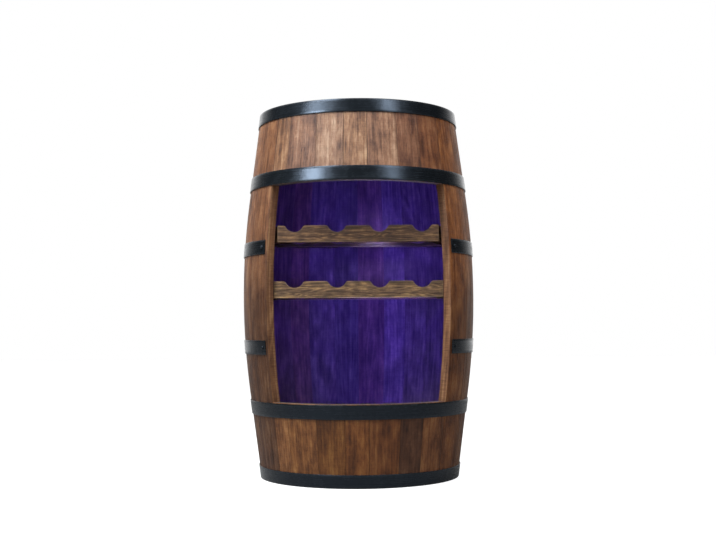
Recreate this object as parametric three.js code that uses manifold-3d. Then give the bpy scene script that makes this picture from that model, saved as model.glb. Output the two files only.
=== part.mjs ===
// Barrel bar cabinet: a coopered oak barrel with an open front, six steel hoops, two racks
// and a strip light behind the edges of its opening. Millimetres, +Z up, the front faces -Y.
// The origin is on the floor, under the middle of the cabinet's outer box.

import * as THREE from 'three';
import { mergeVertices } from 'three/addons/utils/BufferGeometryUtils.js';
import Module from 'manifold-3d';

const DEGREE = Math.PI / 180;

// Barrel body: the staves bow along an arc and run straight at both ends.
const BARREL_HEIGHT = 800;
const BELLY_RADIUS = 256;
const BEND_RADIUS = 1600;
const STRAIGHT_END = 190;
const STAVE_THICKNESS = 20;
const STAVE_JOINT_GAP = 0.4;
const SEAT_CLEARANCE = 0.3;
const STAVE_BEND_STEPS = 10;
const STAVE_WIDTH_STEPS = 2;

// Stave ends: a bevelled chime, and the croze groove that holds the head.
const CHIME_BEVEL_DEPTH = 6;
const CHIME_BEVEL_HEIGHT = 9;
const CROZE_FROM_END = 26;
const CROZE_WIDTH = 7;
const CROZE_DEPTH = 5;

// Opening at the front, between short staves above and below.
const OPENING_HALF_ANGLE = 49 * DEGREE;
const UPPER_STAVE_LENGTH = 172;
const LOWER_STAVE_LENGTH = 172;

// Stave joints across the opening, from its left edge (-1) to its right edge (1).
const FRONT_JOINT_SHARES = [-1, -0.796, -0.449, -0.147, 0.102, 0.429, 0.694, 1];
// Widths of the full-length staves, going round from the opening's right edge to its left.
const FULL_STAVE_SHARES = [1.06, 0.92, 1.1, 0.98, 0.86, 1.12, 1.02, 0.9, 1.08, 0.96, 1.13, 0.88, 1.0, 1.09,
  0.93, 1.07, 0.9, 1.04];

// Steel hoops, lapped and riveted at the back.
const HOOP_THICKNESS = 1.5;
const HOOP_CLEARANCE = 0.35;
const HOOP_SEGMENTS = 64;
const END_HOOP_WIDTH = 28;
const END_HOOP_SETBACK = 0.6;
const QUARTER_HOOP_WIDTH = 30;
const QUARTER_HOOP_REVEAL = 1.2;
const BILGE_HOOP_WIDTH = 30;
const UPPER_BILGE_HOOP_SHARE = 0.622;
const LOWER_BILGE_HOOP_SHARE = 0.358;
const BILGE_HOOP_SETBACK = 6;
const LAP_LENGTH = 44;
const LAP_STEPS = 3;
const LAP_BITE = 0.4;
const RIVET_RADIUS = 4;
const RIVET_HEIGHT = 2;
const RIVET_SPACING = 20;
const RIVET_SEGMENTS = 8;

// Round-head screws that hold the cut ends of the two bilge hoops.
const SCREW_HEAD_RADIUS = 3.8;
const SCREW_HEAD_HEIGHT = 2.4;
const SCREW_SHANK_RADIUS = 1.9;
const SCREW_SHANK_LENGTH = 15;
const SCREW_HOLE_CLEARANCE = 0.35;
const SCREW_FROM_HOOP_END = 11;
const SCREW_SEGMENTS = 12;

// Heads: boards glued edge to edge, with a bevelled rim that sits in the croze.
const HEAD_THICKNESS = 18;
const HEAD_BEVEL_WIDTH = 26;
const HEAD_RIM_CLEARANCE = 0.4;
const HEAD_SEGMENTS = 56;
const HEAD_JOINT_SHARES = [-0.61, -0.22, 0.19, 0.57];
const HEAD_JOINT_WIDTH = 2.4;
const HEAD_JOINT_DEPTH = 1.4;

// Racks: a front rail with neck notches, a rear rail with saddles, and a cleat at each side.
const RAIL_HEIGHT = 35;
const RAIL_THICKNESS = 20;
const RAIL_EDGE_BEVEL = 1.4;
const RAIL_BEHIND_EDGE = 4.8;
const RACK_DEPTH = 170;
const UPPER_RACK_SHARE = 0.635;
const LOWER_RACK_SHARE = 0.4875;
const FRONT_RAIL_END_CLEARANCE = 2.5;
const NOTCH_PITCH = 90;
const NOTCH_RADIUS = 20.5;
const NOTCH_DEPTH = 14;
const NOTCH_END_LAND = 8;
const NOTCH_STEPS = 8;
const SADDLE_RADIUS = 38;
const SADDLE_DEPTH = 27;
const SADDLE_STEPS = 8;
const CLEAT_THICKNESS = 32;
const CLEAT_STEPS = 6;

// Strip light: two curved strips, a controller, a power inlet and the leads between them.
const STRIP_HEIGHT = 10;
const STRIP_BASE = 2.5;
const STRIP_BULGE = 3.5;
const STRIP_FROM_EDGE = 5;
const STRIP_HALF_ANGLE = 43 * DEGREE;
const STRIP_STEPS = 12;
const CONTROLLER_HEIGHT = 66;
const CONTROLLER_DEPTH = 18;
const CONTROLLER_WIDTH = 36;
const CONTROLLER_CHAMFER = 4;
const CONTROLLER_ABOVE_HEAD = 22;
const CONTROLLER_ANGLE = 106 * DEGREE;
const INLET_ANGLE = 144 * DEGREE;
const INLET_FLANGE_RADIUS = 9;
const INLET_FLANGE_HEIGHT = 2.5;
const INLET_BARREL_RADIUS = 5.8;
const INLET_HOLE_CLEARANCE = 0.4;
const INLET_BORE_RADIUS = 2.8;
const INLET_BORE_DEPTH = 11;
const INLET_NUT_RADIUS = 8.5;
const INLET_NUT_HEIGHT = 4;
const INLET_SEGMENTS = 16;
const LEAD_RADIUS = 2;
const LEAD_SIDES = 6;
const LEAD_STEP = 12;
const LEAD_STRAIGHT = 8;
const LEAD_BEND = 16;
const LEAD_TIE_SPACING = 60;
const LEAD_STAND_OFF = 0.3;
const LEAD_EXIT_DEPTH = 3;

// Cutters run past what they cut by this much.
const OVERRUN = 5;
const WELD_DISTANCE = 0.001;

// Finishes
const woodOuter = new THREE.MeshStandardMaterial({ color: 0x7a5238, roughness: 0.62, metalness: 0 });
const woodHead = new THREE.MeshStandardMaterial({ color: 0x73503a, roughness: 0.66, metalness: 0 });
const woodRack = new THREE.MeshStandardMaterial({ color: 0x6a5640, roughness: 0.6, metalness: 0 });
const blackSteel = new THREE.MeshStandardMaterial({ color: 0x1b2026, roughness: 0.38, metalness: 0.6 });
const screwSteel = new THREE.MeshStandardMaterial({ color: 0x14171a, roughness: 0.35, metalness: 0.8 });
const stripPlastic = new THREE.MeshStandardMaterial({ color: 0x6a4cff, roughness: 0.4, metalness: 0 });
const blackPlastic = new THREE.MeshStandardMaterial({ color: 0x15161a, roughness: 0.5, metalness: 0 });

const wasm = await Module();
wasm.setup();

const cabinet = new THREE.Group();
const barrel = new THREE.Group();
cabinet.add(barrel);

function addPiece(name, geometry, material, parent = barrel) {
  const piece = new THREE.Mesh(geometry, material);
  piece.name = name;
  parent.add(piece);
  return piece;
}

// Solid geometry helpers

function toSolid(geometry) {
  const bare = geometry.clone();
  bare.deleteAttribute('normal');
  bare.deleteAttribute('uv');
  const merged = mergeVertices(bare, WELD_DISTANCE);
  const corners = merged.index.array;
  const kept = [];
  for (let i = 0; i < corners.length; i += 3) {
    const [a, b, c] = [corners[i], corners[i + 1], corners[i + 2]];
    if (a !== b && b !== c && c !== a) kept.push(a, b, c);
  }
  return new wasm.Manifold(new wasm.Mesh({
    numProp: 3,
    vertProperties: new Float32Array(merged.attributes.position.array),
    triVerts: new Uint32Array(kept),
  }));
}

function toGeometry(solid) {
  const mesh = solid.getMesh();
  const geometry = new THREE.BufferGeometry();
  geometry.setAttribute('position', new THREE.BufferAttribute(new Float32Array(mesh.vertProperties), 3));
  geometry.setIndex(new THREE.BufferAttribute(new Uint32Array(mesh.triVerts), 1));
  geometry.computeVertexNormals();
  return geometry;
}

function cutFrom(geometry, cutters) {
  return toGeometry(cutters.reduce((solid, cutter) => solid.subtract(toSolid(cutter)), toSolid(geometry)));
}

function joinTo(geometry, additions) {
  return toGeometry(additions.reduce((solid, extra) => solid.add(toSolid(extra)), toSolid(geometry)));
}

// A point at a radius and height, with the angle counted from the front towards +X.
function polarPoint(radius, angle, z) {
  return new THREE.Vector3(radius * Math.sin(angle), -radius * Math.cos(angle), z);
}

// Turns a closed outline, drawn counter-clockwise in radius and height, through an angle
// about the barrel's axis. A full turn closes on itself, and a part turn gets flat ends.
function sweepOutline(outline, startAngle, endAngle, steps) {
  const closed = endAngle - startAngle > 2 * Math.PI - WELD_DISTANCE;
  const rings = closed ? steps : steps + 1;
  const positions = [];
  const index = [];
  for (let k = 0; k < rings; k += 1) {
    const angle = startAngle + (endAngle - startAngle) * (k / steps);
    outline.forEach((p) => positions.push(...polarPoint(p.x, angle, p.y).toArray()));
  }
  const count = outline.length;
  for (let k = 0; k < steps; k += 1) {
    const here = k * count;
    const next = ((k + 1) % rings) * count;
    for (let i = 0; i < count; i += 1) {
      const j = (i + 1) % count;
      index.push(here + i, next + i, here + j);
      index.push(next + i, next + j, here + j);
    }
  }
  if (!closed) {
    const last = steps * count;
    THREE.ShapeUtils.triangulateShape(outline, []).forEach(([a, b, c]) => {
      index.push(a, b, c);
      index.push(last + c, last + b, last + a);
    });
  }
  const geometry = new THREE.BufferGeometry();
  geometry.setAttribute('position', new THREE.Float32BufferAttribute(positions, 3));
  geometry.setIndex(index);
  geometry.computeVertexNormals();
  return geometry;
}

// Extrudes a shape drawn in X and Z along +Y, from the plane at startY.
function extrudeAlongY(shape, startY, depth, bevel = 0) {
  const geometry = new THREE.ExtrudeGeometry(shape, {
    depth: depth - 2 * bevel,
    bevelEnabled: bevel > 0,
    bevelThickness: bevel,
    bevelSize: bevel,
    bevelOffset: -bevel,
    bevelSegments: 1,
  });
  geometry.translate(0, 0, bevel - depth);
  geometry.rotateX(Math.PI / 2);
  geometry.translate(0, startY, 0);
  return geometry;
}

// Barrel profile

function outerRadius(z) {
  const rise = Math.abs(z - BARREL_HEIGHT / 2);
  const bent = Math.min(rise, BARREL_HEIGHT / 2 - STRAIGHT_END);
  const drop = Math.sqrt(BEND_RADIUS ** 2 - bent ** 2);
  return BELLY_RADIUS - BEND_RADIUS + drop - (bent / drop) * (rise - bent);
}

function wallSlope(z) {
  return (outerRadius(z + SEAT_CLEARANCE) - outerRadius(z - SEAT_CLEARANCE)) / (2 * SEAT_CLEARANCE);
}

const fullTurn = 2 * Math.PI;
const fullStaveTurn = fullTurn - 2 * OPENING_HALF_ANGLE;
const fullShareSum = FULL_STAVE_SHARES.reduce((sum, share) => sum + share, 0);
const widestStave = fullStaveTurn * (Math.max(...FULL_STAVE_SHARES) / fullShareSum);
const halfFacet = widestStave / STAVE_WIDTH_STEPS / 2;

// The free radius inside the staves, clear of their flats.
function wallRadius(z) {
  return (outerRadius(z) - STAVE_THICKNESS) * Math.cos(halfFacet) - SEAT_CLEARANCE;
}

function profileHeights(low, high) {
  const bendLow = STRAIGHT_END;
  const bendHigh = BARREL_HEIGHT - STRAIGHT_END;
  const heights = [low];
  for (let i = 0; i <= STAVE_BEND_STEPS; i += 1) {
    const z = bendLow + (bendHigh - bendLow) * (i / STAVE_BEND_STEPS);
    if (z > low + CROZE_WIDTH && z < high - CROZE_WIDTH) heights.push(z);
  }
  heights.push(high);
  return heights;
}

// The chime bevel and croze of one stave end, as points on the inner face, going inwards.
function chimePoints(end, towards) {
  const inner = (z) => outerRadius(z) - STAVE_THICKNESS;
  const bevelEnd = end + towards * CHIME_BEVEL_HEIGHT;
  const grooveStart = end + towards * CROZE_FROM_END;
  const grooveEnd = grooveStart + towards * CROZE_WIDTH;
  return [
    new THREE.Vector2(inner(end) + CHIME_BEVEL_DEPTH, end),
    new THREE.Vector2(inner(bevelEnd), bevelEnd),
    new THREE.Vector2(inner(grooveStart), grooveStart),
    new THREE.Vector2(inner(grooveStart) + CROZE_DEPTH, grooveStart),
    new THREE.Vector2(inner(grooveEnd) + CROZE_DEPTH, grooveEnd),
    new THREE.Vector2(inner(grooveEnd), grooveEnd),
  ];
}

function staveOutline(low, high) {
  const heights = profileHeights(low, high);
  const outline = heights.map((z) => new THREE.Vector2(outerRadius(z), z));
  const topChime = high === BARREL_HEIGHT;
  const bottomChime = low === 0;
  if (topChime) outline.push(...chimePoints(high, -1));
  else outline.push(new THREE.Vector2(outerRadius(high) - STAVE_THICKNESS, high));
  heights.slice(1, -1).reverse().forEach((z) => {
    outline.push(new THREE.Vector2(outerRadius(z) - STAVE_THICKNESS, z));
  });
  if (bottomChime) outline.push(...chimePoints(low, 1).reverse());
  else outline.push(new THREE.Vector2(outerRadius(low) - STAVE_THICKNESS, low));
  return outline;
}

function staveGeometry(low, high, startAngle, endAngle) {
  const halfGap = STAVE_JOINT_GAP / 2 / BELLY_RADIUS;
  return sweepOutline(staveOutline(low, high), startAngle + halfGap, endAngle - halfGap, STAVE_WIDTH_STEPS);
}

// Places a piece made round its own Z axis on the outer face, that axis square to the wall.
function wallPlacement(angle, z, lift) {
  const outward = polarPoint(1, angle, -wallSlope(z)).normalize();
  const turn = new THREE.Quaternion().setFromUnitVectors(new THREE.Vector3(0, 0, 1), outward);
  const place = polarPoint(outerRadius(z), angle, z).addScaledVector(outward, lift);
  return new THREE.Matrix4().compose(place, turn, new THREE.Vector3(1, 1, 1));
}

function turned(points, segments) {
  const profile = points.map(([r, z]) => new THREE.Vector2(r, z));
  return new THREE.LatheGeometry(profile, segments).rotateX(Math.PI / 2);
}

function pin(radius, low, high, segments) {
  return turned([[0, low], [radius, low], [radius, high], [0, high]], segments);
}

// Hoops

const openingTop = BARREL_HEIGHT - UPPER_STAVE_LENGTH;
const openingBottom = LOWER_STAVE_LENGTH;
const hoopFlat = Math.cos(Math.PI / HOOP_SEGMENTS);
const hoopInner = (z) => (outerRadius(z) + HOOP_CLEARANCE) / hoopFlat;
const hoopOuter = (z) => hoopInner(z) + HOOP_THICKNESS;

function hoopOutline(low, high) {
  return [
    new THREE.Vector2(hoopInner(low), low),
    new THREE.Vector2(hoopOuter(low), low),
    new THREE.Vector2(hoopOuter(high), high),
    new THREE.Vector2(hoopInner(high), high),
  ];
}

function hoopGeometry(low, high, startAngle = 0, endAngle = fullTurn) {
  const steps = Math.round(HOOP_SEGMENTS * ((endAngle - startAngle) / fullTurn));
  const ring = sweepOutline(hoopOutline(low, high), startAngle, endAngle, steps);
  const middle = (low + high) / 2;
  const lapHalfAngle = LAP_LENGTH / 2 / hoopOuter(middle);
  const lapOutline = [
    new THREE.Vector2(hoopOuter(low) - LAP_BITE, low),
    new THREE.Vector2(hoopOuter(low) + HOOP_THICKNESS, low),
    new THREE.Vector2(hoopOuter(high) + HOOP_THICKNESS, high),
    new THREE.Vector2(hoopOuter(high) - LAP_BITE, high),
  ];
  const lap = sweepOutline(lapOutline, Math.PI - lapHalfAngle, Math.PI + lapHalfAngle, LAP_STEPS);
  const lapFace = hoopOuter(middle) + HOOP_THICKNESS - outerRadius(middle);
  const rivets = [-1, 1].map((side) => {
    const angle = Math.PI + side * (RIVET_SPACING / 2 / hoopOuter(middle));
    return rivetHead().applyMatrix4(wallPlacement(angle, middle, lapFace - LAP_BITE));
  });
  return joinTo(ring, [lap, ...rivets]);
}

function rivetHead() {
  const shoulder = RIVET_RADIUS * Math.cos(Math.PI / 4);
  const crown = LAP_BITE + RIVET_HEIGHT;
  return turned([
    [0, 0],
    [RIVET_RADIUS, 0],
    [RIVET_RADIUS, LAP_BITE],
    [shoulder, LAP_BITE + RIVET_HEIGHT * Math.sin(Math.PI / 4)],
    [0, crown],
  ], RIVET_SEGMENTS);
}

const bilgeHalfGap = OPENING_HALF_ANGLE + BILGE_HOOP_SETBACK / BELLY_RADIUS;
const upperBilgeMiddle = BARREL_HEIGHT * UPPER_BILGE_HOOP_SHARE;
const lowerBilgeMiddle = BARREL_HEIGHT * LOWER_BILGE_HOOP_SHARE;
const upperQuarterLow = openingTop;
const lowerQuarterHigh = openingBottom - QUARTER_HOOP_REVEAL;

const screwPlaces = [
  ['upper_left', upperBilgeMiddle, -1],
  ['upper_right', upperBilgeMiddle, 1],
  ['lower_left', lowerBilgeMiddle, -1],
  ['lower_right', lowerBilgeMiddle, 1],
].map(([name, z, side]) => {
  const angle = side * (bilgeHalfGap + SCREW_FROM_HOOP_END / hoopOuter(z));
  const seat = hoopOuter(z) - outerRadius(z) + SEAT_CLEARANCE;
  return { name, placement: wallPlacement(angle, z, seat) };
});

function screwHole(placement) {
  const radius = SCREW_SHANK_RADIUS + SCREW_HOLE_CLEARANCE;
  return pin(radius, -SCREW_SHANK_LENGTH - SEAT_CLEARANCE, OVERRUN, SCREW_SEGMENTS).applyMatrix4(placement);
}

const screwHoles = screwPlaces.map(({ placement }) => screwHole(placement));

function closedHoop(name, low, width) {
  addPiece(name, hoopGeometry(low, low + width), blackSteel);
}

closedHoop('hoop_top', BARREL_HEIGHT - END_HOOP_SETBACK - END_HOOP_WIDTH, END_HOOP_WIDTH);
closedHoop('hoop_upper_quarter', upperQuarterLow, QUARTER_HOOP_WIDTH);
closedHoop('hoop_lower_quarter', lowerQuarterHigh - QUARTER_HOOP_WIDTH, QUARTER_HOOP_WIDTH);
closedHoop('hoop_bottom', END_HOOP_SETBACK, END_HOOP_WIDTH);

function bilgeHoop(middle, holes) {
  const low = middle - BILGE_HOOP_WIDTH / 2;
  const open = hoopGeometry(low, low + BILGE_HOOP_WIDTH, bilgeHalfGap, fullTurn - bilgeHalfGap);
  return cutFrom(open, holes);
}

addPiece('hoop_upper_bilge', bilgeHoop(upperBilgeMiddle, screwHoles.slice(0, 2)), blackSteel);
addPiece('hoop_lower_bilge', bilgeHoop(lowerBilgeMiddle, screwHoles.slice(2)), blackSteel);

// Screws

function screwGeometry() {
  const rim = SCREW_HEAD_HEIGHT / 3;
  const shoulder = SCREW_HEAD_RADIUS * Math.cos(Math.PI / 4);
  const crown = rim + (SCREW_HEAD_HEIGHT - rim) * Math.sin(Math.PI / 4);
  return turned([
    [0, -SCREW_SHANK_LENGTH],
    [SCREW_SHANK_RADIUS, -SCREW_SHANK_LENGTH + 2 * SCREW_SHANK_RADIUS],
    [SCREW_SHANK_RADIUS, 0],
    [SCREW_HEAD_RADIUS, 0],
    [SCREW_HEAD_RADIUS, rim],
    [shoulder, crown],
    [0, SCREW_HEAD_HEIGHT],
  ], SCREW_SEGMENTS);
}

screwPlaces.forEach(({ name, placement }) => {
  addPiece(`hoop_screw_${name}`, screwGeometry().applyMatrix4(placement), screwSteel);
});

// Power inlet, which needs its hole before the staves are made

const headRimMiddle = CROZE_FROM_END + CROZE_WIDTH / 2;
const floorHeight = headRimMiddle + HEAD_THICKNESS / 2;
const controllerLow = floorHeight + CONTROLLER_ABOVE_HEAD;
const controllerHigh = controllerLow + CONTROLLER_HEIGHT;
const inletHeight = (controllerLow + controllerHigh) / 2;
const inletPlacement = wallPlacement(INLET_ANGLE, inletHeight, 0);
const wallThrough = STAVE_THICKNESS / Math.sqrt(1 + wallSlope(inletHeight) ** 2);

const inletHole = pin(INLET_BARREL_RADIUS + INLET_HOLE_CLEARANCE, -STAVE_THICKNESS - OVERRUN, OVERRUN,
  INLET_SEGMENTS).applyMatrix4(inletPlacement);

const nutNear = -wallThrough - 2 * SEAT_CLEARANCE;
const nutFar = nutNear - INLET_NUT_HEIGHT;
addPiece('power_inlet', turned([
  [0, nutFar],
  [INLET_NUT_RADIUS, nutFar],
  [INLET_NUT_RADIUS, nutNear],
  [INLET_BARREL_RADIUS, nutNear],
  [INLET_BARREL_RADIUS, SEAT_CLEARANCE],
  [INLET_FLANGE_RADIUS, SEAT_CLEARANCE],
  [INLET_FLANGE_RADIUS, SEAT_CLEARANCE + INLET_FLANGE_HEIGHT / 2],
  [INLET_FLANGE_RADIUS - INLET_FLANGE_HEIGHT / 2, SEAT_CLEARANCE + INLET_FLANGE_HEIGHT],
  [INLET_BORE_RADIUS, SEAT_CLEARANCE + INLET_FLANGE_HEIGHT],
  [INLET_BORE_RADIUS, SEAT_CLEARANCE + INLET_FLANGE_HEIGHT - INLET_BORE_DEPTH],
  [0, SEAT_CLEARANCE + INLET_FLANGE_HEIGHT - INLET_BORE_DEPTH],
], INLET_SEGMENTS).applyMatrix4(inletPlacement), blackPlastic);

// Staves

const frontJoints = FRONT_JOINT_SHARES.map((share) => share * OPENING_HALF_ANGLE);
for (let i = 0; i < frontJoints.length - 1; i += 1) {
  const upper = staveGeometry(openingTop, BARREL_HEIGHT, frontJoints[i], frontJoints[i + 1]);
  addPiece(`stave_upper_${i + 1}`, upper, woodOuter);
  const lower = staveGeometry(0, openingBottom, frontJoints[i], frontJoints[i + 1]);
  addPiece(`stave_lower_${i + 1}`, lower, woodOuter);
}

let staveStart = OPENING_HALF_ANGLE;
FULL_STAVE_SHARES.forEach((share, i) => {
  const staveEnd = staveStart + fullStaveTurn * (share / fullShareSum);
  const stave = staveGeometry(0, BARREL_HEIGHT, staveStart, staveEnd);
  const holes = i === 0 ? [screwHoles[1], screwHoles[3]] : [];
  if (i === FULL_STAVE_SHARES.length - 1) holes.push(screwHoles[0], screwHoles[2]);
  const reach = Math.asin((INLET_BARREL_RADIUS + INLET_HOLE_CLEARANCE) / wallRadius(inletHeight));
  if (INLET_ANGLE + reach > staveStart && INLET_ANGLE - reach < staveEnd) holes.push(inletHole);
  addPiece(`stave_full_${i + 1}`, holes.length ? cutFrom(stave, holes) : stave, woodOuter);
  staveStart = staveEnd;
});

// Heads

const crozeRadius = (outerRadius(CROZE_FROM_END) - STAVE_THICKNESS + CROZE_DEPTH) * Math.cos(halfFacet);
const headRadius = crozeRadius - HEAD_RIM_CLEARANCE;
const headFlatRadius = headRadius - HEAD_BEVEL_WIDTH;

function headGeometry(middle) {
  const halfRim = CROZE_WIDTH / 2 - SEAT_CLEARANCE;
  const half = HEAD_THICKNESS / 2;
  const lip = headRadius - CROZE_DEPTH - SEAT_CLEARANCE;
  const disc = turned([
    [0, -half],
    [headFlatRadius, -half],
    [lip, -halfRim],
    [headRadius, -halfRim],
    [headRadius, halfRim],
    [lip, halfRim],
    [headFlatRadius, half],
    [0, half],
  ], HEAD_SEGMENTS);
  const grooves = [];
  HEAD_JOINT_SHARES.forEach((share) => {
    [-1, 1].forEach((face) => {
      const surface = face * (half + SEAT_CLEARANCE);
      const mouth = (HEAD_JOINT_WIDTH / 2) * (1 + SEAT_CLEARANCE / HEAD_JOINT_DEPTH);
      const groove = new THREE.Shape([
        new THREE.Vector2(share * headRadius - mouth, surface),
        new THREE.Vector2(share * headRadius + mouth, surface),
        new THREE.Vector2(share * headRadius, face * (half - HEAD_JOINT_DEPTH)),
      ]);
      grooves.push(extrudeAlongY(groove, -headRadius - OVERRUN, 2 * (headRadius + OVERRUN)));
    });
  });
  return cutFrom(disc, grooves).translate(0, 0, middle);
}

addPiece('head_bottom', headGeometry(headRimMiddle), woodHead);
addPiece('head_top', headGeometry(BARREL_HEIGHT - headRimMiddle), woodHead);

// Racks

// The front rails stand just behind the sawn edges of the opening.
const frontRailY = RAIL_BEHIND_EDGE - (BELLY_RADIUS - STAVE_THICKNESS) * Math.cos(OPENING_HALF_ANGLE);
const cleatFrontY = frontRailY + RAIL_THICKNESS + SEAT_CLEARANCE;
const rearRailY = frontRailY + RACK_DEPTH - RAIL_THICKNESS;
const cleatRearY = rearRailY - SEAT_CLEARANCE;

// The half width between the walls at a height and a place in depth.
function wallHalfWidth(z, y) {
  return Math.sqrt(wallRadius(z) ** 2 - y ** 2);
}

function narrowestHalfWidth(low, y) {
  return Math.min(wallHalfWidth(low, y), wallHalfWidth(low + RAIL_HEIGHT, y));
}

function halfChord(radius, depth) {
  return Math.sqrt(radius ** 2 - (radius - depth) ** 2);
}

// As many places, at one pitch, as the front rail has room for. Both rails share them.
function scallopPlaces(frontHalf) {
  const room = 2 * (frontHalf - halfChord(NOTCH_RADIUS, NOTCH_DEPTH) - NOTCH_END_LAND);
  const count = Math.max(0, Math.floor(room / NOTCH_PITCH) + 1);
  return Array.from({ length: count }, (_, i) => (i - (count - 1) / 2) * NOTCH_PITCH);
}

// A rail seen from the front, with round scallops let into its top edge.
function railShape(low, halfLength, places, radius, depth, steps) {
  const high = low + RAIL_HEIGHT;
  const centre = high + radius - depth;
  const spread = Math.atan2(halfChord(radius, depth), radius - depth);
  const shape = new THREE.Shape();
  shape.moveTo(-halfLength, low);
  shape.lineTo(halfLength, low);
  shape.lineTo(halfLength, high);
  places.slice().reverse().forEach((x) => {
    for (let i = 0; i <= steps; i += 1) {
      const angle = spread - 2 * spread * (i / steps);
      shape.lineTo(x + radius * Math.sin(angle), centre - radius * Math.cos(angle));
    }
  });
  shape.lineTo(-halfLength, high);
  shape.closePath();
  return shape;
}

// The cleat's outer face follows the wall, and its inner face is sawn straight.
function cleatGeometry(low, side) {
  const high = low + RAIL_HEIGHT;
  const middle = low + RAIL_HEIGHT / 2;
  const front = new THREE.Vector2(wallHalfWidth(middle, cleatFrontY), cleatFrontY);
  const rear = new THREE.Vector2(wallHalfWidth(middle, cleatRearY), cleatRearY);
  const along = rear.clone().sub(front).normalize();
  const inward = new THREE.Vector2(-along.y, along.x).multiplyScalar(CLEAT_THICKNESS);
  const innerX = (y) => front.x + inward.x + (y - front.y - inward.y) * (along.x / along.y);
  const innerFace = Math.min(innerX(cleatFrontY), innerX(cleatRearY));
  const startAngle = Math.atan2(innerFace, -cleatFrontY) - CLEAT_THICKNESS / wallRadius(middle);
  const endAngle = Math.atan2(innerFace, -cleatRearY) + CLEAT_THICKNESS / wallRadius(middle);
  const ring = sweepOutline([
    new THREE.Vector2(innerFace - CLEAT_THICKNESS, low),
    new THREE.Vector2(wallRadius(low), low),
    new THREE.Vector2(wallRadius(high), high),
    new THREE.Vector2(innerFace - CLEAT_THICKNESS, high),
  ], startAngle, endAngle, CLEAT_STEPS);
  const plan = new THREE.Shape([
    new THREE.Vector2(innerX(cleatFrontY), cleatFrontY),
    new THREE.Vector2(BELLY_RADIUS + OVERRUN, cleatFrontY),
    new THREE.Vector2(BELLY_RADIUS + OVERRUN, cleatRearY),
    new THREE.Vector2(innerX(cleatRearY), cleatRearY),
  ]);
  const column = new THREE.ExtrudeGeometry(plan, { depth: RAIL_HEIGHT + 2 * OVERRUN, bevelEnabled: false });
  column.translate(0, 0, low - OVERRUN);
  const cleat = toSolid(ring).intersect(toSolid(column));
  return toGeometry(side > 0 ? cleat : cleat.mirror([1, 0, 0]));
}

function addRack(name, low) {
  const frontHalf = narrowestHalfWidth(low, frontRailY) - FRONT_RAIL_END_CLEARANCE;
  const rearHalf = narrowestHalfWidth(low, rearRailY + RAIL_THICKNESS);
  const places = scallopPlaces(frontHalf);
  const front = railShape(low, frontHalf, places, NOTCH_RADIUS, NOTCH_DEPTH, NOTCH_STEPS);
  const rear = railShape(low, rearHalf, places, SADDLE_RADIUS, SADDLE_DEPTH, SADDLE_STEPS);
  addPiece(`${name}_front_rail`, extrudeAlongY(front, frontRailY, RAIL_THICKNESS, RAIL_EDGE_BEVEL), woodRack);
  addPiece(`${name}_rear_rail`, extrudeAlongY(rear, rearRailY, RAIL_THICKNESS, RAIL_EDGE_BEVEL), woodRack);
  addPiece(`${name}_left_cleat`, cleatGeometry(low, -1), woodRack);
  addPiece(`${name}_right_cleat`, cleatGeometry(low, 1), woodRack);
}

addRack('rack_upper', BARREL_HEIGHT * UPPER_RACK_SHARE);
addRack('rack_lower', BARREL_HEIGHT * LOWER_RACK_SHARE);

// Strip light

function stripGeometry(low) {
  const high = low + STRIP_HEIGHT;
  const middle = low + STRIP_HEIGHT / 2;
  const lens = [-1, -1 / 2, 0, 1 / 2, 1].map((across) => {
    const bulge = STRIP_BULGE * Math.sqrt(1 - across ** 2);
    const z = middle + (across * STRIP_HEIGHT) / 2;
    return new THREE.Vector2(wallRadius(z) - STRIP_BASE - bulge, z);
  });
  const outline = [
    new THREE.Vector2(wallRadius(low), low),
    new THREE.Vector2(wallRadius(high), high),
    ...lens.reverse(),
  ];
  return sweepOutline(outline, -STRIP_HALF_ANGLE, STRIP_HALF_ANGLE, STRIP_STEPS);
}

const upperStripLow = openingTop + STRIP_FROM_EDGE;
const lowerStripLow = openingBottom - STRIP_FROM_EDGE - STRIP_HEIGHT;
addPiece('led_strip_upper', stripGeometry(upperStripLow), stripPlastic);
addPiece('led_strip_lower', stripGeometry(lowerStripLow), stripPlastic);

const controllerHalfAngle = CONTROLLER_WIDTH / 2 / wallRadius(inletHeight);
const controllerStart = CONTROLLER_ANGLE - controllerHalfAngle;
const controllerEnd = CONTROLLER_ANGLE + controllerHalfAngle;
addPiece('led_controller', sweepOutline([
  new THREE.Vector2(wallRadius(controllerLow), controllerLow),
  new THREE.Vector2(wallRadius(controllerHigh), controllerHigh),
  new THREE.Vector2(wallRadius(controllerHigh) - CONTROLLER_DEPTH + CONTROLLER_CHAMFER, controllerHigh),
  new THREE.Vector2(wallRadius(controllerHigh) - CONTROLLER_DEPTH, controllerHigh - CONTROLLER_CHAMFER),
  new THREE.Vector2(wallRadius(controllerLow) - CONTROLLER_DEPTH, controllerLow + CONTROLLER_CHAMFER),
  new THREE.Vector2(wallRadius(controllerLow) - CONTROLLER_DEPTH + CONTROLLER_CHAMFER, controllerLow),
], controllerStart, controllerEnd, STAVE_WIDTH_STEPS), blackPlastic);

// A round lead along smooth points, its ends square to the first and last stretch.
function leadGeometry(points) {
  const path = new THREE.CatmullRomCurve3(points, false, 'centripetal');
  const section = new THREE.Shape(Array.from({ length: LEAD_SIDES }, (_, i) => {
    const angle = fullTurn * (i / LEAD_SIDES);
    return new THREE.Vector2(LEAD_RADIUS * Math.cos(angle), LEAD_RADIUS * Math.sin(angle));
  }));
  return new THREE.ExtrudeGeometry(section, {
    extrudePath: path,
    steps: Math.round(path.getLength() / LEAD_STEP),
    bevelEnabled: false,
  });
}

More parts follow.
